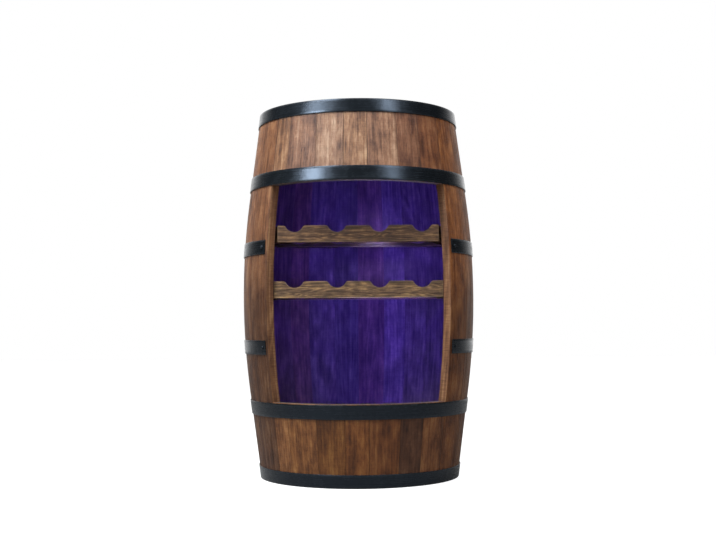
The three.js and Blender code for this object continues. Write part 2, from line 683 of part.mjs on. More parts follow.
// A lead's middle, lying on the wall or standing off it by an extra depth.
function wallLead(angle, z, extra = 0) {
  return polarPoint(wallRadius(z) - LEAD_STAND_OFF - LEAD_RADIUS - extra, angle, z);
}

const leadTurn = LEAD_BEND / wallRadius(inletHeight);
const controllerSide = controllerEnd + SEAT_CLEARANCE / wallRadius(inletHeight);
const nutExit = new THREE.Vector3(0, 0, nutFar - SEAT_CLEARANCE).applyMatrix4(inletPlacement);
const nutAhead = new THREE.Vector3(0, 0, nutFar - LEAD_STRAIGHT).applyMatrix4(inletPlacement);
const inletLead = [
  nutExit,
  nutAhead,
  wallLead(INLET_ANGLE - leadTurn, inletHeight, LEAD_EXIT_DEPTH),
  wallLead(INLET_ANGLE - 2 * leadTurn, inletHeight),
  wallLead((INLET_ANGLE + controllerSide) / 2, inletHeight),
  wallLead(controllerSide + 2 * leadTurn, inletHeight),
  wallLead(controllerSide + LEAD_STRAIGHT / wallRadius(inletHeight), inletHeight, LEAD_EXIT_DEPTH),
  wallLead(controllerSide, inletHeight, LEAD_EXIT_DEPTH),
];
addPiece('lead_inlet', leadGeometry(inletLead), blackPlastic);

// A lead from the controller's top, up the wall and round to the near end of a strip.
function stripLead(angle, stripLow) {
  const stripMiddle = stripLow + STRIP_HEIGHT / 2;
  const start = controllerHigh + SEAT_CLEARANCE;
  const stripEnd = STRIP_HALF_ANGLE + SEAT_CLEARANCE / wallRadius(stripMiddle);
  const points = [
    wallLead(angle, start, LEAD_EXIT_DEPTH),
    wallLead(angle, start + LEAD_STRAIGHT, LEAD_EXIT_DEPTH),
  ];
  const riseLow = start + LEAD_STRAIGHT + LEAD_BEND;
  const riseHigh = stripMiddle - LEAD_BEND;
  const risers = Math.max(0, Math.round((riseHigh - riseLow) / LEAD_TIE_SPACING));
  for (let i = 0; i <= risers && riseHigh > riseLow; i += 1) {
    points.push(wallLead(angle, riseLow + (riseHigh - riseLow) * (i / Math.max(1, risers))));
  }
  const turnAngle = LEAD_BEND / wallRadius(stripMiddle);
  const roundSteps = STRIP_STEPS / 2;
  for (let i = 0; i <= roundSteps; i += 1) {
    const place = angle - turnAngle + (stripEnd - angle + turnAngle) * (i / roundSteps);
    points.push(wallLead(place, stripMiddle));
  }
  return leadGeometry(points);
}

const leadSpacing = CONTROLLER_WIDTH / 4 / wallRadius(controllerHigh);
addPiece('lead_upper_strip', stripLead(CONTROLLER_ANGLE + leadSpacing, upperStripLow), blackPlastic);
addPiece('lead_lower_strip', stripLead(CONTROLLER_ANGLE - leadSpacing, lowerStripLow), blackPlastic);

// The open front reaches less far than the round back, so the barrel's axis stands
// a little forward of the origin.
const frontReach = hoopOuter(upperQuarterLow);
barrel.position.y = (frontReach - BELLY_RADIUS) / 2;

export default cabinet;
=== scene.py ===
# Barrel bar cabinet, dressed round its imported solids. Metres, +Z up, the open front faces -Y.

import math
import random

import bmesh
import bpy
from mathutils import Matrix, Vector


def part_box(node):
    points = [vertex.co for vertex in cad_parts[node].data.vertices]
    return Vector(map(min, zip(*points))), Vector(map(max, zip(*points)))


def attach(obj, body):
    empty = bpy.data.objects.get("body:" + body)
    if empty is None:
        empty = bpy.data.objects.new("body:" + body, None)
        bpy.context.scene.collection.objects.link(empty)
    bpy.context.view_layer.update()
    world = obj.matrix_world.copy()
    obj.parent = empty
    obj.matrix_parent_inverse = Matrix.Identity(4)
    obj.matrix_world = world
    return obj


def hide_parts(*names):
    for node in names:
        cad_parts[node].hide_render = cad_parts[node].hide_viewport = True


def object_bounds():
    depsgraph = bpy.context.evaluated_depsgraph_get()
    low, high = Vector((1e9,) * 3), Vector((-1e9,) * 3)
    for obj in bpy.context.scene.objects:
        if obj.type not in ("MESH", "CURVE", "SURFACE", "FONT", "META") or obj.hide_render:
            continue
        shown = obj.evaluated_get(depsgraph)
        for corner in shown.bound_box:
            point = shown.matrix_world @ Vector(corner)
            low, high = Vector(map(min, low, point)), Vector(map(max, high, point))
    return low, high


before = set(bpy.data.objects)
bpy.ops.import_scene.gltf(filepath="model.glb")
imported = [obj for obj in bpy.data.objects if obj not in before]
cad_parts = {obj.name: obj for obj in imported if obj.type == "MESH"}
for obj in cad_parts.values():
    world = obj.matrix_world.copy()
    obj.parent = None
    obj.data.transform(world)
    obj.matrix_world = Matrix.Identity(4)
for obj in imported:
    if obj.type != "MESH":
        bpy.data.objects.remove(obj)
cad_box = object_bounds()


# Camera
# A long lens stands a little lower than the lower rack and looks slightly up at the cabinet.
# Its place comes from matching the outline of the hoops and staves in the photograph.
PICTURE_WIDTH_PIXELS = 716
FOCAL_LENGTH_PIXELS = 1097.4
CAMERA_BEFORE_AXIS = 2.4586
CAMERA_HEIGHT = 0.3267
CAMERA_PITCH = 0.0525
CAMERA_ROLL = 0.0072
CAMERA_YAW = 0.0007

floor_head_low, floor_head_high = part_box("head_bottom")
barrel_axis = (floor_head_low + floor_head_high) / 2

camera_lens = bpy.data.cameras.new("camera")
camera_lens.lens = camera_lens.sensor_width * FOCAL_LENGTH_PIXELS / PICTURE_WIDTH_PIXELS
camera = bpy.data.objects.new("camera", camera_lens)
camera.location = (barrel_axis.x, barrel_axis.y - CAMERA_BEFORE_AXIS, CAMERA_HEIGHT)
camera.rotation_euler = (math.pi / 2 + CAMERA_PITCH, CAMERA_ROLL, CAMERA_YAW)
bpy.context.scene.collection.objects.link(camera)
bpy.context.scene.camera = camera
bpy.context.scene.view_settings.view_transform = "Standard"


# Staves
# Twenty millimetre oak staves, jointed to radial edges and bent over fire, then brushed, stained
# and waxed. Seven short ones close the front above and seven below the opening, eighteen run the
# full height, and the hoops alone hold them together.
BARREL_HEIGHT = cad_box[1].z
BELLY_RADIUS = 0.256
BEND_RADIUS = 1.6
STRAIGHT_END = 0.19
STAVE_THICKNESS = 0.02
CHIME_BEVEL_DEPTH = 0.006
CHIME_BEVEL_HEIGHT = 0.009
CROZE_FROM_END = 0.026
CROZE_WIDTH = 0.007
CROZE_DEPTH = 0.005
HALF_JOINT_GAP = 0.0002
OUTER_ARRIS = 0.0009
INNER_ARRIS = 0.0009
SAWN_ARRIS = 0.0008
CHIME_ROUNDING = 0.0018
STATION_SPACING = 0.016
OUTER_STEPS = 9
INNER_STEPS = 6
FLAT_START_ARRISES = 2.5
STAVE_WEAR_WIDTH = 3 * OUTER_ARRIS

# The plane leaves waves of this depth. Each has its own radians per metre across and along the
# stave, and its own start. A board's grain is moved by metres, so that no two boards look alike.
HAND_PLANING = 0.0003
PLANING_WAVES = 4
PLANING_ACROSS = (20, 90)
PLANING_ALONG = (4, 14)
PLANING_START = (0, 6.28)
GRAIN_SHIFTS = (2, 9)

# Brightness, redness and yellowness of each stave's tint: its staining, and painted light and shade. The
# upper short staves are set lighter and greyer and the lower ones darker, as painted light from above with a
# painted sheen on the upper band. The short ones go from the viewer's left, the full ones round the back from
# the viewer's right.
UPPER_STAVE_SHADES = [(0.75, -0.05, -0.1), (0.7, -0.05, -0.3), (0.95, -0.15, -0.35), (0.9, -0.1, -0.2),
                      (0.95, -0.1, -0.3), (0.5, 0.15, -0.1), (0.5, 0.3, 0.15)]
LOWER_STAVE_SHADES = [(0.75, 0.1, 0.2), (0.65, 0.15, 0.3), (0.4, 0.25, 0.45), (0.45, 0.3, 0.4),
                      (0.35, 0.35, 0.35), (0.25, 0.15, -0.1), (0.5, 0.2, 0.2)]
FULL_STAVE_SHADES = [(0.7, 0.32, 0.36), (0.68, 0.22, 0.22), (0.75, 0.1, 0.0), (0.5, 0.2, 0.1),
                     (0.7, 0.05, 0.0), (0.85, 0.0, 0.0), (1.0, 0.0, 0.0), (1.3, 0.0, -0.1),
                     (0.95, 0.25, 0.0), (0.8, -0.05, -0.05), (0.95, 0.0, -0.05), (0.85, 0.3, 0.15),
                     (0.65, 0.15, 0.1), (0.8, 0.02, 0.0), (0.6, 0.1, 0.0), (0.72, 0.0, 0.0),
                     (0.6, 0.14, 0.06), (0.57, 0.1, 0.03)]
# Painted shade: the outer face of a full stave darkens towards its foot, as if lit from above. Above the
# higher of two heights a full stave keeps its shade. Below the lower it has this share.
FULL_STAVE_FOOT_SHARE = 0.55
DARKENING_HEIGHTS = (0.34, 0.5)
PORE_COLOUR = "120a06"
GRAIN_RELIEF = 0.0004


def outer_radius(z):
    rise = abs(z - BARREL_HEIGHT / 2)
    bent = min(rise, BARREL_HEIGHT / 2 - STRAIGHT_END)
    drop = math.sqrt(BEND_RADIUS**2 - bent**2)
    return BELLY_RADIUS - BEND_RADIUS + drop - bent / drop * (rise - bent)


def polar_point(radius, angle, z):
    """The angle is counted from the front towards +X, about the barrel's own axis."""
    return Vector((barrel_axis.x + radius * math.sin(angle), barrel_axis.y - radius * math.cos(angle), z))


def filled_angles(node):
    """The first and last angle that the solid of a stave or of a cut hoop fills."""
    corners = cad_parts[node].data.vertices
    middle = sum((corner.co for corner in corners), Vector())
    facing = Vector((middle.x / len(corners) - barrel_axis.x, middle.y / len(corners) - barrel_axis.y))
    towards = math.atan2(facing.x, -facing.y) % (2 * math.pi)
    turns = []
    for corner in corners:
        turn = math.atan2(corner.co.x - barrel_axis.x, -(corner.co.y - barrel_axis.y)) - towards
        turns.append(towards + math.remainder(turn, 2 * math.pi))
    return min(turns), max(turns)


def stave_stations(low, high):
    """Heights up a stave, each with how far its outer and inner faces are cut back there."""
    stations = []
    for end, inward in ((low, 1), (high, -1)):
        if end in (0, BARREL_HEIGHT):
            cuts = [(0, CHIME_ROUNDING, CHIME_BEVEL_DEPTH), (CHIME_ROUNDING / 3, CHIME_ROUNDING / 3, None),
                    (CHIME_ROUNDING, 0, None), (CHIME_BEVEL_HEIGHT, 0, 0),
                    (CHIME_BEVEL_HEIGHT + SAWN_ARRIS, 0, 0), (CROZE_FROM_END - SAWN_ARRIS, 0, 0),
                    (CROZE_FROM_END, 0, 0), (CROZE_FROM_END, 0, CROZE_DEPTH),
                    (CROZE_FROM_END + CROZE_WIDTH, 0, CROZE_DEPTH), (CROZE_FROM_END + CROZE_WIDTH, 0, 0),
                    (CROZE_FROM_END + CROZE_WIDTH + SAWN_ARRIS, 0, 0)]
        else:
            cuts = [(0, SAWN_ARRIS, SAWN_ARRIS), (SAWN_ARRIS / 3, SAWN_ARRIS / 3, SAWN_ARRIS / 3),
                    (SAWN_ARRIS, 0, 0), (3 * SAWN_ARRIS, 0, 0)]
        for rise, outer_cut, inner_cut in cuts:
            if inner_cut is None:
                inner_cut = CHIME_BEVEL_DEPTH * (1 - rise / CHIME_BEVEL_HEIGHT)
            stations.append((end + inward * rise, outer_cut, inner_cut))
        if end == low:
            start = end + rise
        else:
            stop = end - rise
    count = round((stop - start) / STATION_SPACING)
    ends = len(stations)
    plain = [(start + (stop - start) * i / count, 0, 0) for i in range(1, count)]
    first = next(i for i in range(ends) if stations[i][0] == high)
    return stations[:first] + plain + stations[first:][::-1]


def stave_section(half_width):
    """One turn round a stave's section: share of its half width, face and depth from that face."""
    def corner(arris, face):
        return [(1 - arris / half_width * (1 - math.sin(turn)), face, arris * (1 - math.cos(turn)))
                for turn in (math.pi / 2, math.pi / 3, math.pi / 6, 0)]
    outer_right = corner(OUTER_ARRIS, "outer")[::-1]
    inner_right = corner(INNER_ARRIS, "inner")
    outer_edge = 1 - FLAT_START_ARRISES * OUTER_ARRIS / half_width
    inner_edge = 1 - FLAT_START_ARRISES * INNER_ARRIS / half_width
    outer_flat = [(outer_edge * (2 * i / OUTER_STEPS - 1), "outer", 0) for i in range(OUTER_STEPS + 1)]
    inner_flat = [(inner_edge * (1 - 2 * i / INNER_STEPS), "inner", 0) for i in range(INNER_STEPS + 1)]
    outer_left = [(-share, face, depth) for share, face, depth in outer_right[::-1]]
    inner_left = [(-share, face, depth) for share, face, depth in inner_right[::-1]]
    return outer_left + outer_flat + outer_right + inner_right + inner_flat + inner_left


def new_piece(name, verts, faces, materials, face_materials, grain, tints, edges, crease=32):
    """A mesh object with smooth shading, its creases kept sharp, and what its materials read."""
    mesh = bpy.data.meshes.new(name)
    mesh.from_pydata(verts, [], faces)
    for material in materials:
        mesh.materials.append(material)
    mesh.polygons.foreach_set("material_index", face_materials)
    places = mesh.attributes.new("grain", "FLOAT_VECTOR", "POINT")
    places.data.foreach_set("vector", [value for place in grain for value in place])
    # The tint is staining, and on staves and rear rails painted shade as well.
    if tints:
        stain_and_shade = mesh.attributes.new("stain_and_shade", "FLOAT_VECTOR", "POINT")
        stain_and_shade.data.foreach_set("vector", [value for tint in tints for value in tint])
    near_edge = mesh.attributes.new("near_edge", "FLOAT", "POINT")
    near_edge.data.foreach_set("value", edges)
    built = bmesh.new()
    built.from_mesh(mesh)
    bmesh.ops.recalc_face_normals(built, faces=built.faces)
    for face in built.faces:
        face.smooth = True
    for edge in built.edges:
        edge.smooth = len(edge.link_faces) == 2 and edge.calc_face_angle() < math.radians(crease)
    built.to_mesh(mesh)
    built.free()
    piece = bpy.data.objects.new(name, mesh)
    bpy.context.scene.collection.objects.link(piece)
    return piece


# A tint from brightness, redness and yellowness: staining, and for staves and rear rails painted shade too.
def stain_and_shade_tint(brightness, redness, yellowness):
    return brightness * (1 + redness), brightness, brightness * (1 - yellowness)


def grain_shift(luck):
    return Vector([luck.uniform(*GRAIN_SHIFTS) for _ in range(3)])


def stands_for(piece, node):
    """Puts a piece in its solid's place and on the cabinet's one body."""
    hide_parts(node)
    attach(piece, "root")


def stave_piece(node, low, high, shade, luck, foot_share=1.0):
    start, end = filled_angles(node)
    half_turn = (end - start) / 2 + HALF_JOINT_GAP / BELLY_RADIUS
    middle = (start + end) / 2
    half_width = half_turn * BELLY_RADIUS
    section = stave_section(half_width)
    stations = stave_stations(low, high)
    waves = [(luck.uniform(*PLANING_ACROSS), luck.uniform(*PLANING_ALONG), luck.uniform(*PLANING_START))
             for _ in range(PLANING_WAVES)]
    shift = grain_shift(luck)
    verts, grain, tints, edges = [], [], [], []
    plain_tint = Vector(stain_and_shade_tint(*shade))
    darkest, lightest = DARKENING_HEIGHTS
    for z, outer_cut, inner_cut in stations:
        outside = outer_radius(z)
        # Painted shade: the outer face darkens towards the foot, as if the light fell from above.
        rise = min(1, max(0, (z - darkest) / (lightest - darkest)))
        painted_foot_shade = foot_share + (1 - foot_share) * rise * rise * (3 - 2 * rise)
        tint = plain_tint * painted_foot_shade
        for share, face, depth in section:
            across = share * half_width
            wave = sum(math.sin(across * a + z * b + c) for a, b, c in waves) / len(waves)
            if face == "outer":
                inset = outer_cut + depth + HAND_PLANING * (0.5 + 0.5 * wave)
            else:
                inset = STAVE_THICKNESS - inner_cut - depth
            verts.append(polar_point(outside - inset, middle + share * half_turn, z))
            grain.append(Vector((across, inset, z)) + shift)
            tints.append(tint if face == "outer" else plain_tint)
            edges.append(max(0, 1 - (half_width - abs(across)) / STAVE_WEAR_WIDTH))
    ring = len(section)
    faces, kinds = [], []
    for i in range(len(stations) - 1):
        for j in range(ring):
            k = (j + 1) % ring
            faces.append((i * ring + j, i * ring + k, (i + 1) * ring + k, (i + 1) * ring + j))
            if section[j][1] == section[k][1] == "outer":
                kinds.append(0)
            else:
                kinds.append(2 if section[j][1] == section[k][1] else 1)
    faces.append(tuple(range(ring)))
    faces.append(tuple(range((len(stations) - 1) * ring, len(stations) * ring)))
    kinds += [3, 3]
    materials = [brushed_oak, sawn_oak, inner_oak, end_grain_oak]
    piece = new_piece(f"{node}_dressed", verts, faces, materials, kinds, grain, tints, edges)
    stands_for(piece, node)


def paint(code):
    """A colour as it shows, such as 8a6248, in the renderer's linear values."""
    levels = [int(code[i:i + 2], 16) / 255 for i in (0, 2, 4)]
    return (*[v / 12.92 if v <= 0.04045 else ((v + 0.055) / 1.055) ** 2.4 for v in levels], 1)


def add_node(tree, kind, inputs=None, **settings):
    node = tree.nodes.new(kind)
    for name, value in settings.items():
        setattr(node, name, value)
    for socket, value in (inputs or {}).items():
        if isinstance(value, bpy.types.NodeSocket):
            tree.links.new(value, node.inputs[socket])
        else:
            node.inputs[socket].default_value = value
    return node


def worked_out(tree, operation, first, second=0.0, third=0.0):
    return add_node(tree, "ShaderNodeMath", {0: first, 1: second, 2: third}, operation=operation).outputs[0]


def between(tree, value, low, high, to_low=0.0, to_high=1.0):
    node = add_node(tree, "ShaderNodeMapRange", {"Value": value, "From Min": low, "From Max": high,
                                                 "To Min": to_low, "To Max": to_high})
    return node.outputs["Result"]


def colour_mix(tree, share, first, second, blend="MIX"):
    """Mixes two colours. The node keeps its colours at inputs 6 and 7, and their mix at output 2."""
    node = add_node(tree, "ShaderNodeMix", {0: share, 6: first, 7: second},
                    data_type="RGBA", blend_type=blend)
    return node.outputs[2]


def colour_steps(tree, share, stops):
    node = add_node(tree, "ShaderNodeValToRGB", {"Fac": share})
    ramp = node.color_ramp
    while len(ramp.elements) < len(stops):
        ramp.elements.new(0.5)
    for element, (place, code) in zip(ramp.elements, stops):
        element.position = place
        element.color = paint(code)
    return node.outputs["Color"]


def new_group(name, values, results):
    """An effect for several materials. Gives back the group, what it is given and what it puts out."""
    group = bpy.data.node_groups.new(name, "ShaderNodeTree")
    sockets = group.interface
    sockets.new_socket("Place", in_out="INPUT", socket_type="NodeSocketVector")
    for socket, default in values.items():
        sockets.new_socket(socket, in_out="INPUT", socket_type="NodeSocketFloat").default_value = default
    for socket in results:
        sockets.new_socket(socket, in_out="OUTPUT", socket_type="NodeSocketFloat")
    return group, group.nodes.new("NodeGroupInput").outputs, group.nodes.new("NodeGroupOutput").inputs


def make_oak_grain():
    """Oak's marks at real size: growth streaks, a meandering figure, fibres, pores and blotches."""
    group, given, result = new_group(
        "oak_grain", {"Streak Width": 0.007, "Figure Width": 0.05, "Fibre Width": 0.0012,
                      "Near Edge": 0.0, "Edge Share": 0.5},
        ("Streaks", "Figure", "Fibres", "Pores", "Blotches", "Saw Marks", "Edge Wear"))

    def stretched(width, length_share, detail, roughness=0.5, distortion=0.0):
        """Noise whose marks have one width and are so many times as long along the grain."""
        size = worked_out(group, "DIVIDE", 1.0, width)
        along = worked_out(group, "DIVIDE", size, length_share)
        scale = add_node(group, "ShaderNodeCombineXYZ", {"X": size, "Y": size, "Z": along}).outputs[0]
        place = add_node(group, "ShaderNodeVectorMath", {0: given["Place"], 1: scale}, operation="MULTIPLY")
        noise = add_node(group, "ShaderNodeTexNoise", {
            "Vector": place.outputs[0], "Scale": 1.0, "Detail": detail, "Roughness": roughness,
            "Distortion": distortion})
        return noise.outputs["Fac"]

    streaks = stretched(given["Streak Width"], length_share=26, detail=4, roughness=0.62, distortion=0.3)
    group.links.new(between(group, streaks, 0.32, 0.68), result["Streaks"])
    hills = stretched(given["Figure Width"], length_share=7, detail=1.5, roughness=0.4, distortion=0.4)
    contours = worked_out(group, "MULTIPLY", hills, 60.0)
    figure = worked_out(group, "MULTIPLY_ADD", worked_out(group, "SINE", contours), 0.5, 0.5)
    group.links.new(figure, result["Figure"])
    fibres = stretched(given["Fibre Width"], length_share=34, detail=2)
    group.links.new(between(group, fibres, 0.3, 0.7), result["Fibres"])
    pore_width = worked_out(group, "MULTIPLY", given["Fibre Width"], 0.8)
    pores = stretched(pore_width, length_share=14, detail=1)
    group.links.new(between(group, pores, 0.62, 0.72), result["Pores"])
    blotch_width = worked_out(group, "MULTIPLY", given["Figure Width"], 0.6)
    blotches = stretched(blotch_width, length_share=1.9, detail=5, roughness=0.66)
    group.links.new(between(group, blotches, 0.36, 0.64), result["Blotches"])
    saw_mark_width = worked_out(group, "MULTIPLY", given["Figure Width"], 0.5)
    saw_marks = stretched(saw_mark_width, length_share=0.05, detail=2)
    group.links.new(between(group, saw_marks, 0.4, 0.72), result["Saw Marks"])
    edge_wear = worked_out(group, "MULTIPLY", given["Near Edge"], given["Edge Share"])
    group.links.new(edge_wear, result["Edge Wear"])
    return group


oak_grain = make_oak_grain()


def oak_finish(name, stops, streaks=0.45, figure=0.3, blotches=0.25, saw_marks=0.1, fibre_depth=0.25,
               pore_depth=0.4, gloss=(0.42, 0.6), edge_colour=None, edge_share=0.5, stain_and_shade_share=1.0,
               **widths):
    """Oak tinted by staining and painted shade: grain marks pick a colour, fibres and pores give relief."""
    material = bpy.data.materials.new(name)
    material.use_nodes = True
    tree = material.node_tree
    place = add_node(tree, "ShaderNodeAttribute", attribute_name="grain").outputs["Vector"]
    stain_and_shade = add_node(tree, "ShaderNodeAttribute", attribute_name="stain_and_shade").outputs["Color"]
    near_edge = add_node(tree, "ShaderNodeAttribute", attribute_name="near_edge").outputs["Fac"]
    own_widths = {socket.replace("_", " ").title(): width for socket, width in widths.items()}
    marks = add_node(tree, "ShaderNodeGroup", {
        "Place": place, "Near Edge": near_edge, "Edge Share": edge_share, **own_widths},
        node_tree=oak_grain).outputs
    shade = worked_out(tree, "MULTIPLY", marks["Streaks"], streaks)
    shade = worked_out(tree, "MULTIPLY_ADD", marks["Figure"], figure, shade)
    shade = worked_out(tree, "MULTIPLY_ADD", marks["Blotches"], blotches, shade)
    shade = worked_out(tree, "MULTIPLY_ADD", marks["Saw Marks"], -saw_marks, shade)
    colour = colour_steps(tree, shade, stops)
    colour = colour_mix(tree, stain_and_shade_share, colour, stain_and_shade, "MULTIPLY")
    dark = worked_out(tree, "MULTIPLY", marks["Fibres"], fibre_depth)
    dark = worked_out(tree, "MULTIPLY_ADD", marks["Pores"], pore_depth, dark)
    colour = colour_mix(tree, dark, colour, paint(PORE_COLOUR))
    if edge_colour:
        colour = colour_mix(tree, marks["Edge Wear"], colour, paint(edge_colour))
    shader = tree.nodes["Principled BSDF"]
    shader.inputs["Specular IOR Level"].default_value = 0.2
    tree.links.new(colour, shader.inputs["Base Color"])
    tree.links.new(between(tree, marks["Streaks"], 0, 1, gloss[1], gloss[0]), shader.inputs["Roughness"])
    height = worked_out(tree, "MULTIPLY_ADD", marks["Pores"], -0.6, marks["Fibres"])
    height = worked_out(tree, "MULTIPLY_ADD", marks["Saw Marks"], 2.5 * saw_marks, height)
    bump = add_node(tree, "ShaderNodeBump", {"Height": height, "Distance": GRAIN_RELIEF, "Strength": 0.8})
    tree.links.new(bump.outputs["Normal"], shader.inputs["Normal"])
    return material


brushed_oak = oak_finish(
    "brushed_oak", [(0.0, "442a1a"), (0.3, "6e472d"), (0.6, "8f6240"), (1.0, "b48a62")],
    streaks=0.38, figure=0.12, blotches=0.56, saw_marks=0.1, edge_colour="2a1810", edge_share=0.35,
    streak_width=0.0055)
sawn_oak = oak_finish(
    "sawn_oak", [(0.0, "4e301c"), (0.5, "754f33"), (1.0, "a07a54")], saw_marks=0.3, gloss=(0.6, 0.75),
    stain_and_shade_share=0.1)
end_grain_oak = oak_finish(
    "end_grain_oak", [(0.0, "41342f"), (0.5, "594b45"), (1.0, "73645d")], gloss=(0.65, 0.8), stain_and_shade_share=0.2,
    streak_width=0.003)
# The inner faces are greyed oak with a painted mauve cast that stands for the violet strip light on them.
inner_oak = oak_finish(
    "inner_oak", [(0.0, "30262c"), (0.4, "483a42"), (0.7, "5a4a52"), (1.0, "746068")],
    streaks=0.35, figure=0.15, blotches=0.45, fibre_depth=0.12, pore_depth=0.15, gloss=(0.45, 0.65))

opening_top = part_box("stave_upper_4")[0].z
opening_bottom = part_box("stave_lower_4")[1].z
stave_luck = random.Random(7)
for number, (upper_shade, lower_shade) in enumerate(zip(UPPER_STAVE_SHADES, LOWER_STAVE_SHADES), 1):
    stave_piece(f"stave_upper_{number}", opening_top, BARREL_HEIGHT, upper_shade, stave_luck)
    stave_piece(f"stave_lower_{number}", 0, opening_bottom, lower_shade, stave_luck)
for number, shade in enumerate(FULL_STAVE_SHADES, 1):
    stave_piece(f"stave_full_{number}", 0, BARREL_HEIGHT, shade, stave_luck, FULL_STAVE_FOOT_SHARE)


# Heads
# Two round oak heads of five glued boards each, their rims tapered to a tongue that sits in the
# croze groove of the staves. The lower one is the floor that things are stood on.
HEAD_TONGUE_HALF = 0.0032
HEAD_BEVEL_WIDTH = 0.026
HEAD_LIP_WIDTH = 0.0053
HEAD_ARRIS = 0.0008
HEAD_TURN_STEPS = 120
HEAD_JOINT_SHARES = [-1, -0.61, -0.22, 0.19, 0.57, 1]
HEAD_JOINT_ARRIS = 0.0012
HEAD_WEAR_WIDTH = 0.0028
HEAD_BOARD_SHADES = [(0.9, 0.04, 0.1), (1.02, 0.0, 0.1), (0.82, 0.08, 0.1), (0.96, 0.02, 0.1),
                     (0.88, 0.06, 0.1)]


def turned(profile, steps):
    """A solid turned round +Z from points of radius and height, the first and last on the axis."""
    verts = [Vector((0, 0, profile[0][1]))]
    for radius, height in profile[1:-1]:
        for i in range(steps):
            angle = 2 * math.pi * i / steps
            verts.append(Vector((radius * math.cos(angle), radius * math.sin(angle), height)))
    verts.append(Vector((0, 0, profile[-1][1])))
    last_ring = 1 + (len(profile) - 3) * steps
    faces = []
    for i in range(steps):
        k = (i + 1) % steps
        faces.append((0, 1 + k, 1 + i))
        for ring in range(1, last_ring, steps):
            faces.append((ring + i, ring + k, ring + steps + k, ring + steps + i))
        faces.append((last_ring + i, last_ring + k, len(verts) - 1))
    return verts, faces


def cut_away(built, place, outward):
    """Saws off what lies beyond a plane and closes the cut. Gives back the new face."""
    everything = built.verts[:] + built.edges[:] + built.faces[:]
    cut = bmesh.ops.bisect_plane(built, geom=everything, plane_co=place, plane_no=outward, clear_outer=True)
    rim = [item for item in cut["geom_cut"] if isinstance(item, bmesh.types.BMEdge)]
    return bmesh.ops.contextual_create(built, geom=rim)["faces"]


def head_piece(node, luck):
    low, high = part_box(node)
    radius = (high.x - low.x) / 2
    half = (high.z - low.z) / 2
    middle = (low + high) / 2
    flat = radius - HEAD_BEVEL_WIDTH
    lip = radius - HEAD_LIP_WIDTH
    lower_side = [(0, -half), (flat - HEAD_ARRIS, -half), (flat + HEAD_ARRIS, HEAD_ARRIS / 3 - half),
                  (lip, -HEAD_TONGUE_HALF), (radius - HEAD_ARRIS, -HEAD_TONGUE_HALF),
                  (radius, HEAD_ARRIS - HEAD_TONGUE_HALF)]
    profile = lower_side + [(reach, -height) for reach, height in lower_side[::-1]]
    disc_verts, disc_faces = turned(profile, HEAD_TURN_STEPS)
    verts, faces, grain, tints, edges = [], [], [], [], []
    for number, shade in enumerate(HEAD_BOARD_SHADES):
        left, right = (share * radius for share in HEAD_JOINT_SHARES[number:number + 2])
        board = bmesh.new()
        corners = [board.verts.new(vert) for vert in disc_verts]
        for face in disc_faces:
            board.faces.new([corners[i] for i in face])
        joints = []
        if number > 0:
            joints += cut_away(board, (left, 0, 0), (-1, 0, 0))
        if number < len(HEAD_BOARD_SHADES) - 1:
            joints += cut_away(board, (right, 0, 0), (1, 0, 0))
        arrises = {edge for joint in joints for edge in joint.edges}
        bmesh.ops.bevel(board, geom=list(arrises), offset=HEAD_JOINT_ARRIS, segments=2, profile=0.5,
                        affect="EDGES", clamp_overlap=True)
        for joint in (left + HEAD_WEAR_WIDTH, right - HEAD_WEAR_WIDTH):
            everything = board.verts[:] + board.edges[:] + board.faces[:]
            bmesh.ops.bisect_plane(board, geom=everything, plane_co=(joint, 0, 0), plane_no=(1, 0, 0))
        shift = grain_shift(luck)
        board.verts.index_update()
        first = len(verts)
        for vert in board.verts:
            verts.append(vert.co + middle)
            grain.append(Vector((vert.co.x, vert.co.z, vert.co.y)) + shift)
            tints.append(stain_and_shade_tint(*shade))
            beside = min(abs(vert.co.x - left), abs(vert.co.x - right))
            edges.append(max(0, 1 - beside / HEAD_WEAR_WIDTH))
        faces += [tuple(first + vert.index for vert in face.verts) for face in board.faces]
        board.free()
    piece = new_piece(f"{node}_boards", verts, faces, [head_oak], [0] * len(faces), grain, tints, edges)
    stands_for(piece, node)


head_oak = oak_finish(
    "head_oak", [(0.0, "4f3424"), (0.4, "7c563c"), (0.7, "946c4d"), (1.0, "b08a68")],
    edge_colour="2a1810", edge_share=0.6, saw_marks=0.1)
head_luck = random.Random(21)
head_piece("head_bottom", head_luck)
head_piece("head_top", head_luck)


# Hoops
# Six flat bands of 1.5 mm mild steel in black paint, driven on so that they lean with the staves.
# Each is lapped at the back and closed with two rivets. The two beside the opening end just short
# of its sawn edges.
HOOP_THICKNESS = 0.0015
HOOP_LIFT = 0.0005
HOOP_ARRIS = 0.0004
HOOP_FACE_STEPS = 6
HOOP_STEP_TURN = math.radians(2)
HOOP_WEAR_WIDTH = 4 * HOOP_ARRIS
LAP_HALF_LENGTH = 0.022
LAP_RAMP = 0.008
LAP_RAMP_STEPS = 4
RIVET_RADIUS = 0.004
RIVET_HEIGHT = 0.002
RIVET_HALF_SPACING = 0.01
RIVET_STEPS = 24
PAINT_RELIEF = 0.00006


def wall_placement(angle, z, lift):
    """Puts a thing made round +Z on the outer face of the staves, that axis square to the wall."""
    slope = (outer_radius(z + HOOP_ARRIS) - outer_radius(z - HOOP_ARRIS)) / (2 * HOOP_ARRIS)
    outward = (polar_point(1, angle, 0) - polar_point(0, angle, slope)).normalized()
    place = polar_point(outer_radius(z), angle, z) + outward * lift
    return Matrix.Translation(place) @ outward.to_track_quat("Z", "Y").to_matrix().to_4x4()


def domed(radius, height, steps=6):
    """The profile of a low dome, from its rim to its crown."""
    turns = [math.pi / 2 * i / steps for i in range(steps)]
    return [(radius * math.cos(turn), height * math.sin(turn)) for turn in turns] + [(0, height)]


